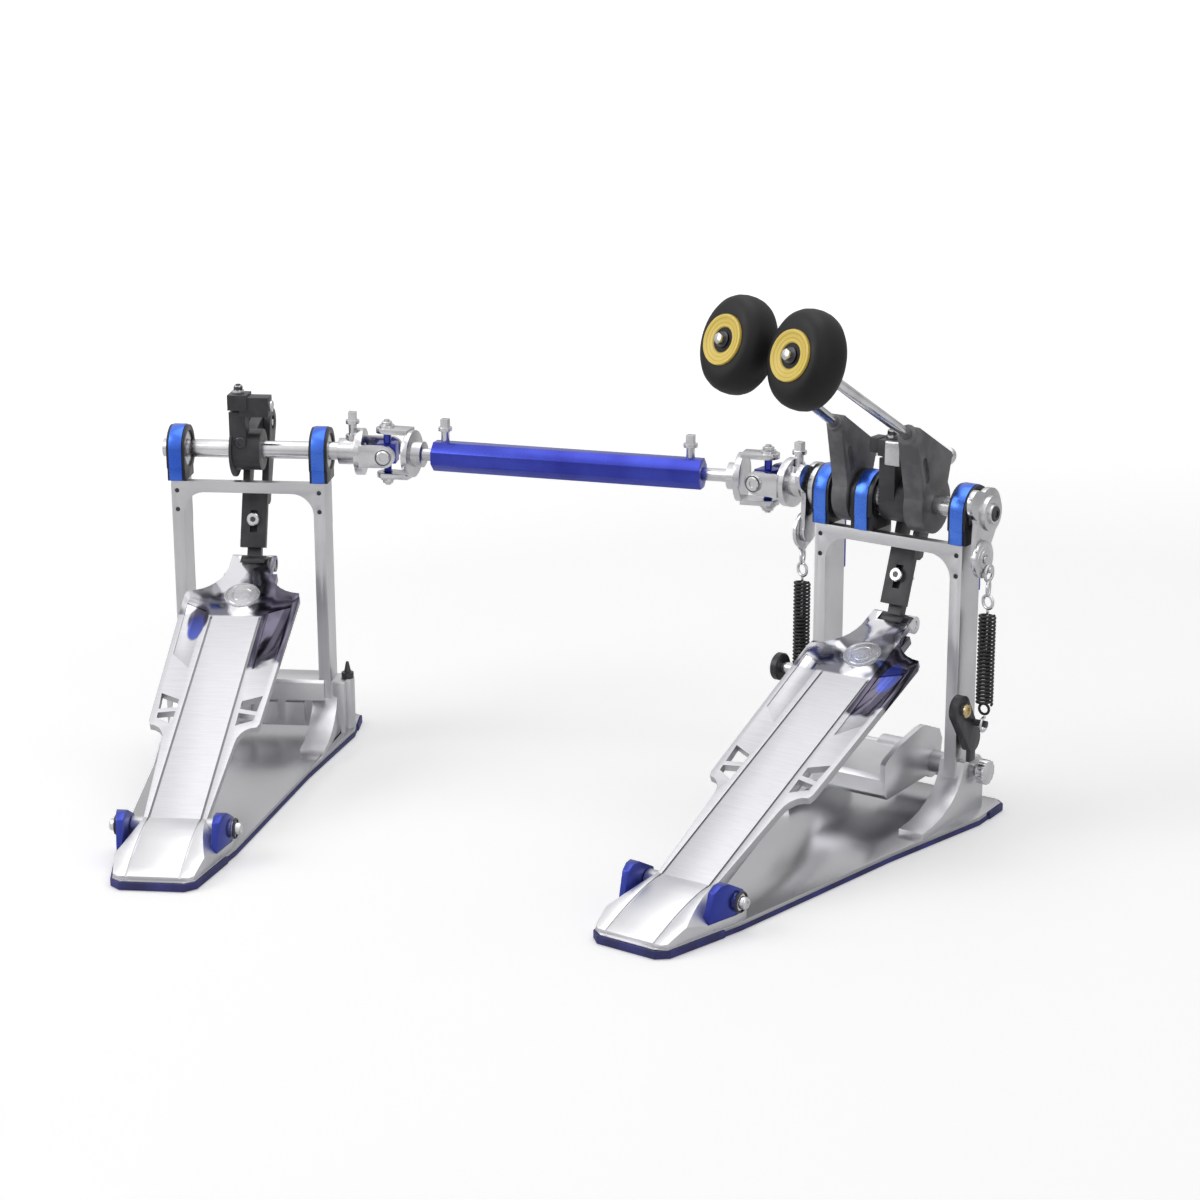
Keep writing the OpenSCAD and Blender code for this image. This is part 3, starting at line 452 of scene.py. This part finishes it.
# %% Edge-breaking modifiers
def shading_group(angle):
    group = bpy.data.node_groups.new("smooth shallow edges", "GeometryNodeTree")
    group.interface.new_socket("Geometry", in_out="INPUT", socket_type="NodeSocketGeometry")
    group.interface.new_socket("Geometry", in_out="OUTPUT", socket_type="NodeSocketGeometry")
    start = group.nodes.new("NodeGroupInput")
    end = group.nodes.new("NodeGroupOutput")
    faces = group.nodes.new("GeometryNodeSetShadeSmooth")
    edges = group.nodes.new("GeometryNodeSetShadeSmooth")
    edges.domain = "EDGE"
    edges.inputs["Shade Smooth"].default_value = False
    slope = group.nodes.new("GeometryNodeInputMeshEdgeAngle")
    steep = group.nodes.new("FunctionNodeCompare")
    steep.inputs["B"].default_value = math.radians(angle)
    group.links.new(slope.outputs["Unsigned Angle"], steep.inputs["A"])
    group.links.new(steep.outputs["Result"], edges.inputs["Selection"])
    group.links.new(start.outputs[0], faces.inputs[0])
    group.links.new(faces.outputs[0], edges.inputs[0])
    group.links.new(edges.outputs[0], end.inputs[0])
    return group


smooth_group = shading_group(33)


def break_edges(obj, width):
    weld = obj.modifiers.new("weld", "WELD")
    weld.merge_threshold = 0.00001
    if width:
        bevel = obj.modifiers.new("broken edges", "BEVEL")
        bevel.width = width
        bevel.segments = 2
        bevel.limit_method = "ANGLE"
        bevel.angle_limit = math.radians(38)
        bevel.use_clamp_overlap = True
    shade = obj.modifiers.new("shading", "NODES")
    shade.node_group = smooth_group


def paint(obj, finish):
    obj.data.materials.clear()
    obj.data.materials.append(finish.material)


print("edge modifiers ready")

# %% Finishes for every node
finish_of = {
    "left_axle": bright_steel,
    "left_axle_bolts": bright_steel,
    "right_beater_holder": holder_coat,
    "left_beater_holder": holder_coat,
    "right_beater_rod": rod_chrome,
    "left_beater_rod": rod_chrome,
    "right_beater_head": head_black,
    "left_beater_head": head_black,
    "right_beater_disc": bright_steel,
    "left_beater_disc": bright_steel,
    "right_rocker": fork_steel,
    "left_rocker": fork_steel,
    "right_spring_hanger": bright_steel,
    "left_spring_hanger": bright_steel,
    "right_spring": spring_wire,
    "left_spring": spring_wire,
    "spring_adjusters": black_coat,
    "hoop_jaw": casting,
    "hoop_screw": bright_steel,
    "slave_spurs": dark_steel,
    "joint_a_hub": fork_steel,
    "joint_b_hub": fork_steel,
    "joint_a_rod": fork_steel,
    "joint_b_rod": fork_steel,
    "cross_a": tube_blue,
    "cross_b": tube_blue,
    "drive_tube": tube_blue,
    "tube_bolts": bright_steel,
}
for pedal in ("main", "slave"):
    finish_of.update(
        {
            pedal + "_sole_pad": sole_rubber,
            pedal + "_base_plate": plate_finish[pedal],
            pedal + "_heel_plate": casting,
            pedal + "_hinge_blocks": block_blue,
            pedal + "_hinge_pin": bright_steel,
            pedal + "_footboard": board_finish[pedal],
            pedal + "_link_lower": black_coat,
            pedal + "_link_upper": black_coat,
            pedal + "_link_bolts": bright_steel,
            pedal + "_cam": black_coat,
            pedal + "_axle": bright_steel,
            pedal + "_axle_bolts": bright_steel,
            pedal + "_frame": casting,
            pedal + "_bearing_housings": housing_coat,
            pedal + "_bearing_caps": cap_blue,
            pedal + "_bearings": bright_steel,
        }
    )
for name, obj in node.items():
    paint(obj, finish_of[name])
    break_edges(obj, 0 if name.endswith("_spring") else 0.0004)
print("dressed", len(node), "nodes")

# %% [markdown]
# ## New pieces
# Heads, discs and springs show best as finer pieces than the solids they stand for. They are
# made with bmesh operators in a handy frame of their own, then moved to their place in the mesh
# itself, so each finished object stays at the origin and rides on its body.


# %% Piece helper
def finish_piece(name, bm, finish, body, matrix=None, sharp=35, stands_for=()):
    bmesh.ops.remove_doubles(bm, verts=bm.verts, dist=0.000005)
    bmesh.ops.recalc_face_normals(bm, faces=bm.faces)
    if matrix is not None:
        bmesh.ops.transform(bm, matrix=matrix, verts=bm.verts)
    for face in bm.faces:
        face.smooth = True
    for edge in bm.edges:
        edge.smooth = len(edge.link_faces) != 2 or edge.calc_face_angle(0) < math.radians(sharp)
    mesh = bpy.data.meshes.new(name)
    bm.to_mesh(mesh)
    bm.free()
    obj = bpy.data.objects.new(name, mesh)
    bpy.context.scene.collection.objects.link(obj)
    paint(obj, finish)
    if body:
        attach(obj, body)
    if stands_for:
        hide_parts(*stands_for)
    return obj


def spun(bm, geom, angle, steps, climb=0.0, merge=False):
    """Geometry spun about the Z axis, climbing a little with each step."""
    bmesh.ops.spin(
        bm, geom=geom, cent=(0, 0, 0), axis=(0, 0, 1), dvec=(0, 0, climb), angle=angle, steps=steps,
        use_merge=merge,
    )
    return bm


def spin_profile(points, steps=72):
    """A solid turned from a profile of (radius, height) points about the Z axis."""
    bm = bmesh.new()
    corners = [bm.verts.new((r, 0, z)) for r, z in points]
    edges = [bm.edges.new(pair) for pair in zip(corners, corners[1:])]
    spun(bm, corners + edges, math.tau, steps, merge=True)
    bmesh.ops.remove_doubles(bm, verts=bm.verts, dist=0.000005)
    return bm


def bevelled(bm, offset, segments=2):
    """The same solid with all its edges broken."""
    bmesh.ops.bevel(
        bm, geom=bm.edges[:], offset=offset, segments=segments, affect="EDGES", profile=0.5, material=-1
    )
    return bm


def prism(radius, low, high, sides=6, edge=0.0):
    """An upright hexagon, or a cylinder of more sides, from one height to another."""
    bm = bmesh.new()
    bmesh.ops.create_cone(bm, cap_ends=True, segments=sides, radius1=radius, radius2=radius, depth=high - low)
    if edge:
        bevelled(bm, edge)
    bmesh.ops.translate(bm, vec=(0, 0, (low + high) / 2), verts=bm.verts)
    return bm


def joined(*parts):
    """Several bmesh parts as one."""
    whole = bmesh.new()
    for part in parts:
        scratch = bpy.data.meshes.new("scratch")
        part.to_mesh(scratch)
        part.free()
        whole.from_mesh(scratch)
        bpy.data.meshes.remove(scratch)
    return whole


print("piece helpers ready")

# %% [markdown]
# ## Beater heads
# A head is a barrel turned about its rod. Spinning a profile is the natural way: the front face
# is flat, the rim rolls over, the side bulges and the back tapers a little. It is then eased
# into the slightly oval outline that the photograph shows.

# %% Heads and discs
# Each side's distance from the centre, lean of the rod in degrees, and reach along the rod
HEAD = {"right": (0.0205, 61.4, 0.196), "left": (-0.036, 59.3, 0.188)}
ROD_OFFSET = 0.0316
HEAD_PROFILE = [
    (0.0, 0.0133), (0.0168, 0.0134), (0.0204, 0.0131), (0.0232, 0.0118), (0.0254, 0.0094), (0.0268, 0.0060),
    (0.0275, 0.0018), (0.0276, -0.0026), (0.0271, -0.0066), (0.0260, -0.0098), (0.0240, -0.0124),
    (0.0214, -0.0136), (0.0060, -0.0138), (0.0, -0.0138),
]
DISC_PROFILE = [
    (0.0, 0.0136), (0.0040, 0.0136), (0.0046, 0.0131), (0.0078, 0.0131), (0.0086, 0.0139), (0.0138, 0.0144),
    (0.0150, 0.0152), (0.0160, 0.0150), (0.0163, 0.0142), (0.0163, 0.0124), (0.0, 0.0124),
]
WASHER_PROFILE = [(0.0, 0.0150), (0.0046, 0.0150), (0.0052, 0.0144), (0.0052, 0.0130), (0.0, 0.0130)]


def head_frame(side):
    """The middle of a head: its Z axis looks out of the face that strikes."""
    x, lean, reach = HEAD[side]
    rod = Matrix.Translation((x, 0, AXLE_Z)) @ Matrix.Rotation(math.radians(lean), 4, "X")
    turned = Matrix.Rotation(math.radians(10), 4, "X") @ Matrix.Rotation(math.radians(-15), 4, "Y")
    return rod @ Matrix.Translation((0, ROD_OFFSET, reach)) @ turned


for side in HEAD:
    at = head_frame(side)
    body = side + "_beater"
    head = spin_profile(HEAD_PROFILE, 96)
    bmesh.ops.scale(head, vec=(0.93, 1.14, 1.0), verts=head.verts)
    finish_piece(side + "_head_skin", head, head_black, body, at, 60, [side + "_beater_head"])
    axis = at.to_3x3() @ Vector((0, 0, 1))
    yellow = ringed_yellow(side + " yellow disc", at @ Vector((0, 0, 0.0136)), axis)
    disc = spin_profile(DISC_PROFILE, 72)
    finish_piece(side + "_ringed_disc", disc, yellow, body, at, 30, [side + "_beater_disc"])
    washer = spin_profile(WASHER_PROFILE, 40)
    finish_piece(side + "_disc_washer", washer, dark_steel, body, at, 30)
    bolt = prism(0.0037, 0.0148, 0.0184, edge=0.0005)
    finish_piece(side + "_disc_bolt", bolt, fork_steel, body, at, 30)
print("two heads with discs and bolts")

# %% [markdown]
# ## Springs
# A spring is a circle of wire spun about an upright axis while it climbs: the spin operator's
# dvec is the climb of one step. The loops at the ends are rings spun from the same circle. The
# upper hook is a separate bright wire that runs down inside the coil, so when the rocker pulls it
# up the coil and the hook still meet.

# %% Coils and hooks
WIRE, HOOK_WIRE, WIRE_SIDES = 0.0009, 0.0011, 12
SPRING_X, SPRING_Y = 0.0715, -0.006
COIL_R, COIL_LOW, COIL_TOP, CURLS = 0.0051, 0.086, 0.148, 24


def wire_section(radius, wire, capped, height=0.0, start=0.0):
    """A circle of wire that stands upright beside the Z axis."""
    bm = bmesh.new()
    bmesh.ops.create_circle(bm, cap_ends=capped, segments=WIRE_SIDES, radius=wire)
    upright = Matrix.Translation((radius, 0, height)) @ Matrix.Rotation(math.pi / 2, 4, "X")
    bmesh.ops.transform(bm, matrix=Matrix.Rotation(start, 4, "Z") @ upright, verts=bm.verts)
    return bm


def wire_ring(centre, radius, normal, start=0, turn=360, wire=WIRE):
    """A ring of round wire, or a part of one: a circle spun about the ring's own axis."""
    whole = turn >= 360
    bm = wire_section(radius, wire, not whole, start=math.radians(start))
    spun(bm, bm.verts[:] + bm.edges[:], math.radians(turn), 40, merge=whole)
    if not whole:
        bmesh.ops.holes_fill(bm, edges=[e for e in bm.edges if e.is_boundary], sides=WIRE_SIDES)
    bmesh.ops.transform(bm, matrix=facing(centre, normal), verts=bm.verts)
    return bm


def coil():
    """The curls of a spring, which climb from the lower eye to the top."""
    bm = wire_section(COIL_R, WIRE, True, COIL_LOW)
    steps = 22 * CURLS
    climb = (COIL_TOP - COIL_LOW) / steps
    return spun(bm, bm.verts[:] + bm.edges[:] + bm.faces[:], math.tau * CURLS, steps, climb)


for side, x, swing in (("right", SPRING_X, "main_swing"), ("left", -SPRING_X, "left_swing")):
    at = Matrix.Translation((x, SPRING_Y, 0))
    low_eye = wire_ring((0, 0, COIL_LOW - 0.0035), 0.0036, (0, 1, 0))
    spring = finish_piece(
        side + "_spring_coil", joined(coil(), low_eye), spring_wire, None, at, 60, [side + "_spring"],
    )
    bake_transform(spring)
    low_hook = wire_ring((0, 0, 0.0718), 0.0046, (1, 0, 0), 75, 285, HOOK_WIRE)
    finish_piece(side + "_spring_low_hook", low_hook, bright_steel, "main_base", at, 60)
    upper = joined(
        wire_ring((0, 0, 0.1761), 0.0053, (1, 0, 0), 100, 310, HOOK_WIRE),
        wire_ring((0, 0, 0.1658), 0.0053, (1, 0.35, 0), -80, 310, HOOK_WIRE),
        wire_ring((0, 0, 0.1565), 0.0044, (0.3, 1, 0), wire=HOOK_WIRE),
        prism(WIRE, 0.122, 0.1525, WIRE_SIDES),
    )
    finish_piece(side + "_spring_hook", upper, fork_steel, side + "_hanger", at, 60)
print("two springs of", CURLS, "curls")

# %% [markdown]
# ## Screws, nuts and small castings
# The eye takes a machine for real by its fasteners. One profile, spun, makes every socket-head
# screw, and a bevelled hexagon makes every nut. Each is turned to its axis and set on the face
# that it clamps, and it rides on the body that holds that face.


# %% Screw and nut helpers
def body_of(name):
    """The body that holds a node."""
    return next(body for body, held in frame["record"]["behaviour"]["bodies"].items() if name in held)


def socket_screw(name, at, radius, height, finish, body):
    inner, edge, floor_z = radius * 0.46, radius * 0.14, height * 0.45
    profile = [(0, floor_z), (inner, floor_z), (inner, height), (radius - edge, height),
               (radius, height - edge), (radius, 0), (0, 0)]
    return finish_piece(name, spin_profile(profile, 40), finish, body, at, 30)


def hex_nut(name, at, radius, height, finish, body):
    nut = prism(radius, 0, height, edge=radius * 0.12)
    stud = prism(radius * 0.5, 0, height * 1.5, 24)
    return finish_piece(name, joined(nut, stud), finish, body, at, 30)


def rounded_block(name, low, high, edge, finish, body, where=None):
    bm = bmesh.new()
    bmesh.ops.create_cube(bm, size=1)
    bmesh.ops.scale(bm, vec=[b - a for a, b in zip(low, high)], verts=bm.verts)
    bevelled(bm, edge, 3)
    bmesh.ops.translate(bm, vec=[(a + b) / 2 for a, b in zip(low, high)], verts=bm.verts)
    return finish_piece(name, bm, finish, body, where, 40)


brass = turned_steel("worn brass", (0.62, 0.50, 0.27), 0.26)
print("fastener helpers ready")

# %% Universal joint fasteners
FORK_FACE = 0.020
joint_centre = {
    "a": slave_place @ Matrix.Translation((0.100, 0, AXLE_Z)),
    "b": Matrix.Translation((-0.104, 0, AXLE_Z)),
}
for letter, centre in joint_centre.items():
    hub_body, rod_body = body_of("joint_" + letter + "_hub"), body_of("joint_" + letter + "_rod")
    for sign, end in ((-1, "_front"), (1, "_back")):
        tag = "joint_" + letter + end
        side_at = facing((0, sign * (FORK_FACE - 0.0004), 0), (0, sign, 0), centre)
        socket_screw(tag + "_screw", side_at, 0.0050, 0.0016, fork_steel, hub_body)
        ring = spin_profile([(0.0052, 0.0), (0.0052, 0.0007), (0.0058, 0.0007), (0.0058, 0.0)], 40)
        finish_piece(tag + "_screw_ring", ring, dark_steel, hub_body, side_at, 30)
        nut_at = facing((0, 0, sign * FORK_FACE), (0, 0, sign), centre)
        hex_nut(tag + "_nut", nut_at, 0.0042, 0.0026, fork_steel, rod_body)
print("fasteners on both joints")

# %% Hinge fasteners and post strips
SIDES = (("right", 1), ("left", -1))
HINGE_RING = [(0.0057, 0), (0.0068, 0.0003), (0.0070, 0.0010), (0.0066, 0.0018), (0.0057, 0.0020)]
for pedal, where in place.items():
    base = body_of(pedal + "_base_plate")
    for side, sign in SIDES:
        tag = pedal + "_" + side
        ring_at = facing((sign * 0.0386, HINGE_Y, HINGE_Z), (sign, 0, 0), where)
        ring = spin_profile(HINGE_RING, 48)
        finish_piece(tag + "_hinge_ring", ring, black_coat, base, ring_at, 40)
        screw_at = facing((sign * 0.0430, HINGE_Y, HINGE_Z), (sign, 0, 0), where)
        socket_screw(tag + "_hinge_screw", screw_at, 0.0038, 0.0010, bright_steel, base)
        post_x, half = sign * POST_X, 0.0039
        rounded_block(
            tag + "_post_strip", (post_x - half, 0.0096, 0.158), (post_x + half, 0.0126, 0.1925), 0.0006,
            tube_blue, base, where,
        )
print("hinges and post strips")

# %% Post screws and cap skirts
POST_SCREW = [
    (0, 0), (0.0009, 0), (0.0009, 0.0006), (0.0015, 0.0006), (0.00165, 0.0), (0.00165, -0.003), (0, -0.003),
]
for pedal, where in place.items():
    base = body_of(pedal + "_base_plate")
    screws = []
    for x in (-POST_X, POST_X):
        for z in (0.187, 0.173):
            screw = spin_profile(POST_SCREW, 24)
            bmesh.ops.transform(screw, matrix=facing((x, -0.0150, z), (0, -1, 0)), verts=screw.verts)
            screws.append(screw)
    finish_piece(pedal + "_post_screws", joined(*screws), dark_steel, base, where, 30)
    cap_x = {"left": -POST_X, "right": POST_X}
    if pedal == "main":
        cap_x["centre"] = CENTRE_HOUSING_X
    for tag, x in cap_x.items():
        rounded_block(
            pedal + "_" + tag + "_cap_skirt", (x - 0.0047, -0.0176, 0.1943), (x + 0.0047, -0.0150, 0.2045),
            0.0006, cap_blue, base, where,
        )
print("fasteners of the posts")

# %% Cam clamps and link bolts
link_foot = Matrix.Translation((0, -0.0026, 0.1303)) @ Matrix.Rotation(math.radians(-20.04), 4, "X")
clamp_x = {"main": -0.0015, "slave": -0.0055}
for pedal, where in place.items():
    clamp_at = facing((clamp_x[pedal], -0.0095, 0.2605), (0, 0, 1), where)
    hex_nut(pedal + "_cam_clamp_nut", clamp_at, 0.0035, 0.0028, dark_steel, body_of(pedal + "_cam"))
    bolt_at = facing((0, -0.0107, 0.031), (0, -1, 0), where @ link_foot)
    link_body = body_of(pedal + "_link_bolts")
    socket_screw(pedal + "_link_bolt_head", bolt_at, 0.0047, 0.0016, fork_steel, link_body)
    recess = prism(0.0021, 0.0006, 0.0010)
    finish_piece(pedal + "_link_bolt_hex", recess, dark_steel, link_body, bolt_at, 30)
rounded_block(
    "main_cam_jaw", (-0.0022, -0.0192, 0.2415), (0.0098, -0.0155, 0.2580), 0.0012, fork_steel, "main_swing"
)
rounded_block(
    "main_cam_knob", (-0.0145, -0.0175, 0.2485), (-0.0070, -0.0060, 0.2590), 0.0012, black_coat, "main_swing",
)
front_at = facing((-0.0040, -0.0149, 0.2230), (0, -1, 0), slave_place)
socket_screw("slave_cam_front_screw", front_at, 0.0042, 0.0014, dark_steel, "slave_swing")
print("cam clamps and link bolts")

# %% Rocker and hanger details
HANGER_RINGS = [
    (0.0036, 0.0), (0.0036, 0.0009), (0.0060, 0.0009), (0.0063, 0.0004), (0.0088, 0.0004), (0.0092, 0.0),
    (0.0036, 0.0),
]
for side, sign in SIDES:
    end_at = facing((sign * 0.0714, 0, AXLE_Z), (sign, 0, 0))
    socket_screw(side + "_axle_end", end_at, 0.0052, 0.0012, dark_steel, body_of(side + "_rocker"))
    rings_at = facing((sign * 0.0697, -0.010, 0.186), (sign, 0, 0))
    rings = spin_profile(HANGER_RINGS, 56)
    hanger_body = body_of(side + "_spring_hanger")
    finish_piece(side + "_hanger_rings", rings, fork_steel, hanger_body, rings_at, 30)
print("rocker and hanger details")

# %% Spring adjusters
for side, sign in SIDES:
    screw_at = facing((sign * 0.0673, -0.023, 0.085), (sign, 0, 0))
    socket_screw(side + "_adjuster_screw", screw_at, 0.0048, 0.0016, brass, "main_base")
    x, half = sign * 0.063, 0.0017
    rounded_block(
        side + "_adjuster_prong", (x - half, -0.0105, 0.0445), (x + half, -0.0030, 0.0600), 0.0007,
        black_coat, "main_base",
    )
print("adjuster screws and prongs")

# %% Knob of the left adjuster
# It is black, on a bright stem, and stands outside the spring.
STEM_X, KNOB_X, KNOB_Y, KNOB_Z = -0.0645, -0.0782, -0.0175, 0.0880
STEM_PROFILE = [(0.0006, 0.0), (0.0040, 0.0), (0.0040, 0.0145), (0.0006, 0.0145), (0.0006, 0.0)]
KNOB_PROFILE = [
    (0.0042, 0.0), (0.0086, 0.0), (0.0096, 0.0010), (0.0096, 0.0050), (0.0086, 0.0060), (0.0042, 0.0060),
    (0.0042, 0.0),
]
stem = spin_profile(STEM_PROFILE, 32)
stem_at = facing((STEM_X, KNOB_Y, KNOB_Z), (-1, 0, 0))
finish_piece("left_adjuster_stem", stem, fork_steel, "main_base", stem_at, 30)
knob = spin_profile(KNOB_PROFILE, 48)
knob_at = facing((KNOB_X, KNOB_Y, KNOB_Z), (-1, 0, 0))
finish_piece("left_adjuster_knob", knob, black_coat, "main_base", knob_at, 30)
print("adjuster knob")

# %% [markdown]
# ## A bare disc on each board
# The polished toe carries a round inlay. It is left plain here: a thin satin disc with a turned
# rim, let into the board.

# %% Plain inlay
INLAY_PROFILE = [
    (0.0, 0.0005), (0.0060, 0.0005), (0.0063, 0.0002), (0.0069, 0.0002), (0.0072, 0.0005), (0.0102, 0.0005),
    (0.0106, 0.0001), (0.0114, 0.0001), (0.0118, 0.0007), (0.0128, 0.0007), (0.0131, 0.0), (0.0131, -0.001),
    (0.0, -0.001),
]
for pedal in ("main", "slave"):
    inlay = spin_profile(INLAY_PROFILE, 64)
    at = board_place[pedal] @ Matrix.Translation((0, 0.230, 0.0063))
    finish_piece(pedal + "_board_inlay", inlay, fork_steel, pedal + "_board", at, 30)
print("two plain inlays")

# %% [markdown]
# ## Floor, world and lamps
# A product photograph stands on white paper under large soft boxes. The floor is a broad pale
# plane that glows a little for the camera alone, more so far away, which keeps the paper white
# and leaves a soft shadow at the feet. The world is white to the camera. Mirror-like metal sees
# it darker near the horizon and a little brighter on the key lamp's side, which gives polished
# faces their shading.

# %% Floor
floor_finish = Finish("white paper", Roughness=0.9, Specular_IOR_Level=0.1)
paper_place = floor_finish.coordinates()
paper_noise = floor_finish.noise(paper_place, 4, 2)
seen = floor_finish.add("LightPath").outputs["Is Camera Ray"]
away = floor_finish.vector_maths("LENGTH", paper_place, output="Value")
glow = floor_finish.span(away, 0.7, 2.5, 0.30, 0.75)
floor_finish.shade(
    Base_Color=floor_finish.blend(paper_noise, (0.93, 0.93, 0.93), (0.95, 0.95, 0.95)),
    Emission_Color=(1, 1, 1, 1),
    Emission_Strength=floor_finish.maths("MULTIPLY", seen, glow),
)
sheet = bmesh.new()
bmesh.ops.create_grid(sheet, x_segments=1, y_segments=1, size=14)
floor_mesh = bpy.data.meshes.new("floor")
sheet.to_mesh(floor_mesh)
sheet.free()
floor = bpy.data.objects.new("floor", floor_mesh)
floor.location = (0, 0, -0.0005)
bpy.context.scene.collection.objects.link(floor)
paint(floor, floor_finish)
print("floor laid")

# %% World
AMBIENT = 0.34
world = bpy.data.worlds.new("studio")
world.use_nodes = True
sky = Nodes(world.node_tree)
path = sky.add("LightPath").outputs
direction = sky.add("TexCoord").outputs["Generated"]
height = sky.add("SeparateXYZ", Vector=direction).outputs["Z"]
overhead = sky.span(height, 0.05, 0.75, 0.55, 1.0)
to_key = sky.vector_maths("DOT_PRODUCT", direction, (-0.6, -0.8, 0), output="Value")
key_side = sky.span(to_key, -1.0, 1.0, 0.86, 1.20)
for_metal = sky.choose(path["Is Glossy Ray"], AMBIENT, sky.maths("MULTIPLY", overhead, key_side))
for_camera = sky.choose(path["Is Camera Ray"], for_metal, 1.0)
sky.set(world.node_tree.nodes["Background"], Color=(1, 1, 1, 1), Strength=for_camera)
bpy.context.scene.world = world
print("world set")


# %% Lamps
def soft_box(name, location, target, size, energy):
    """A rectangular lamp aimed at a point."""
    lamp = bpy.data.lights.new(name, "AREA")
    lamp.shape = "RECTANGLE"
    lamp.size, lamp.size_y = size
    lamp.energy = energy
    obj = bpy.data.objects.new(name, lamp)
    obj.location = location
    obj.rotation_euler = (Vector(target) - Vector(location)).to_track_quat("-Z", "Y").to_euler()
    bpy.context.scene.collection.objects.link(obj)


soft_box("key", (-2.0, -2.1, 1.9), (-0.2, -0.1, 0.1), (2.0, 2.0), 30)
soft_box("fill", (2.4, -0.9, 1.2), (-0.1, -0.1, 0.1), (1.2, 1.8), 4)
soft_box("overhead", (-0.2, 0.2, 2.9), (-0.2, -0.1, 0.1), (2.6, 2.6), 24)
print("three lamps set")
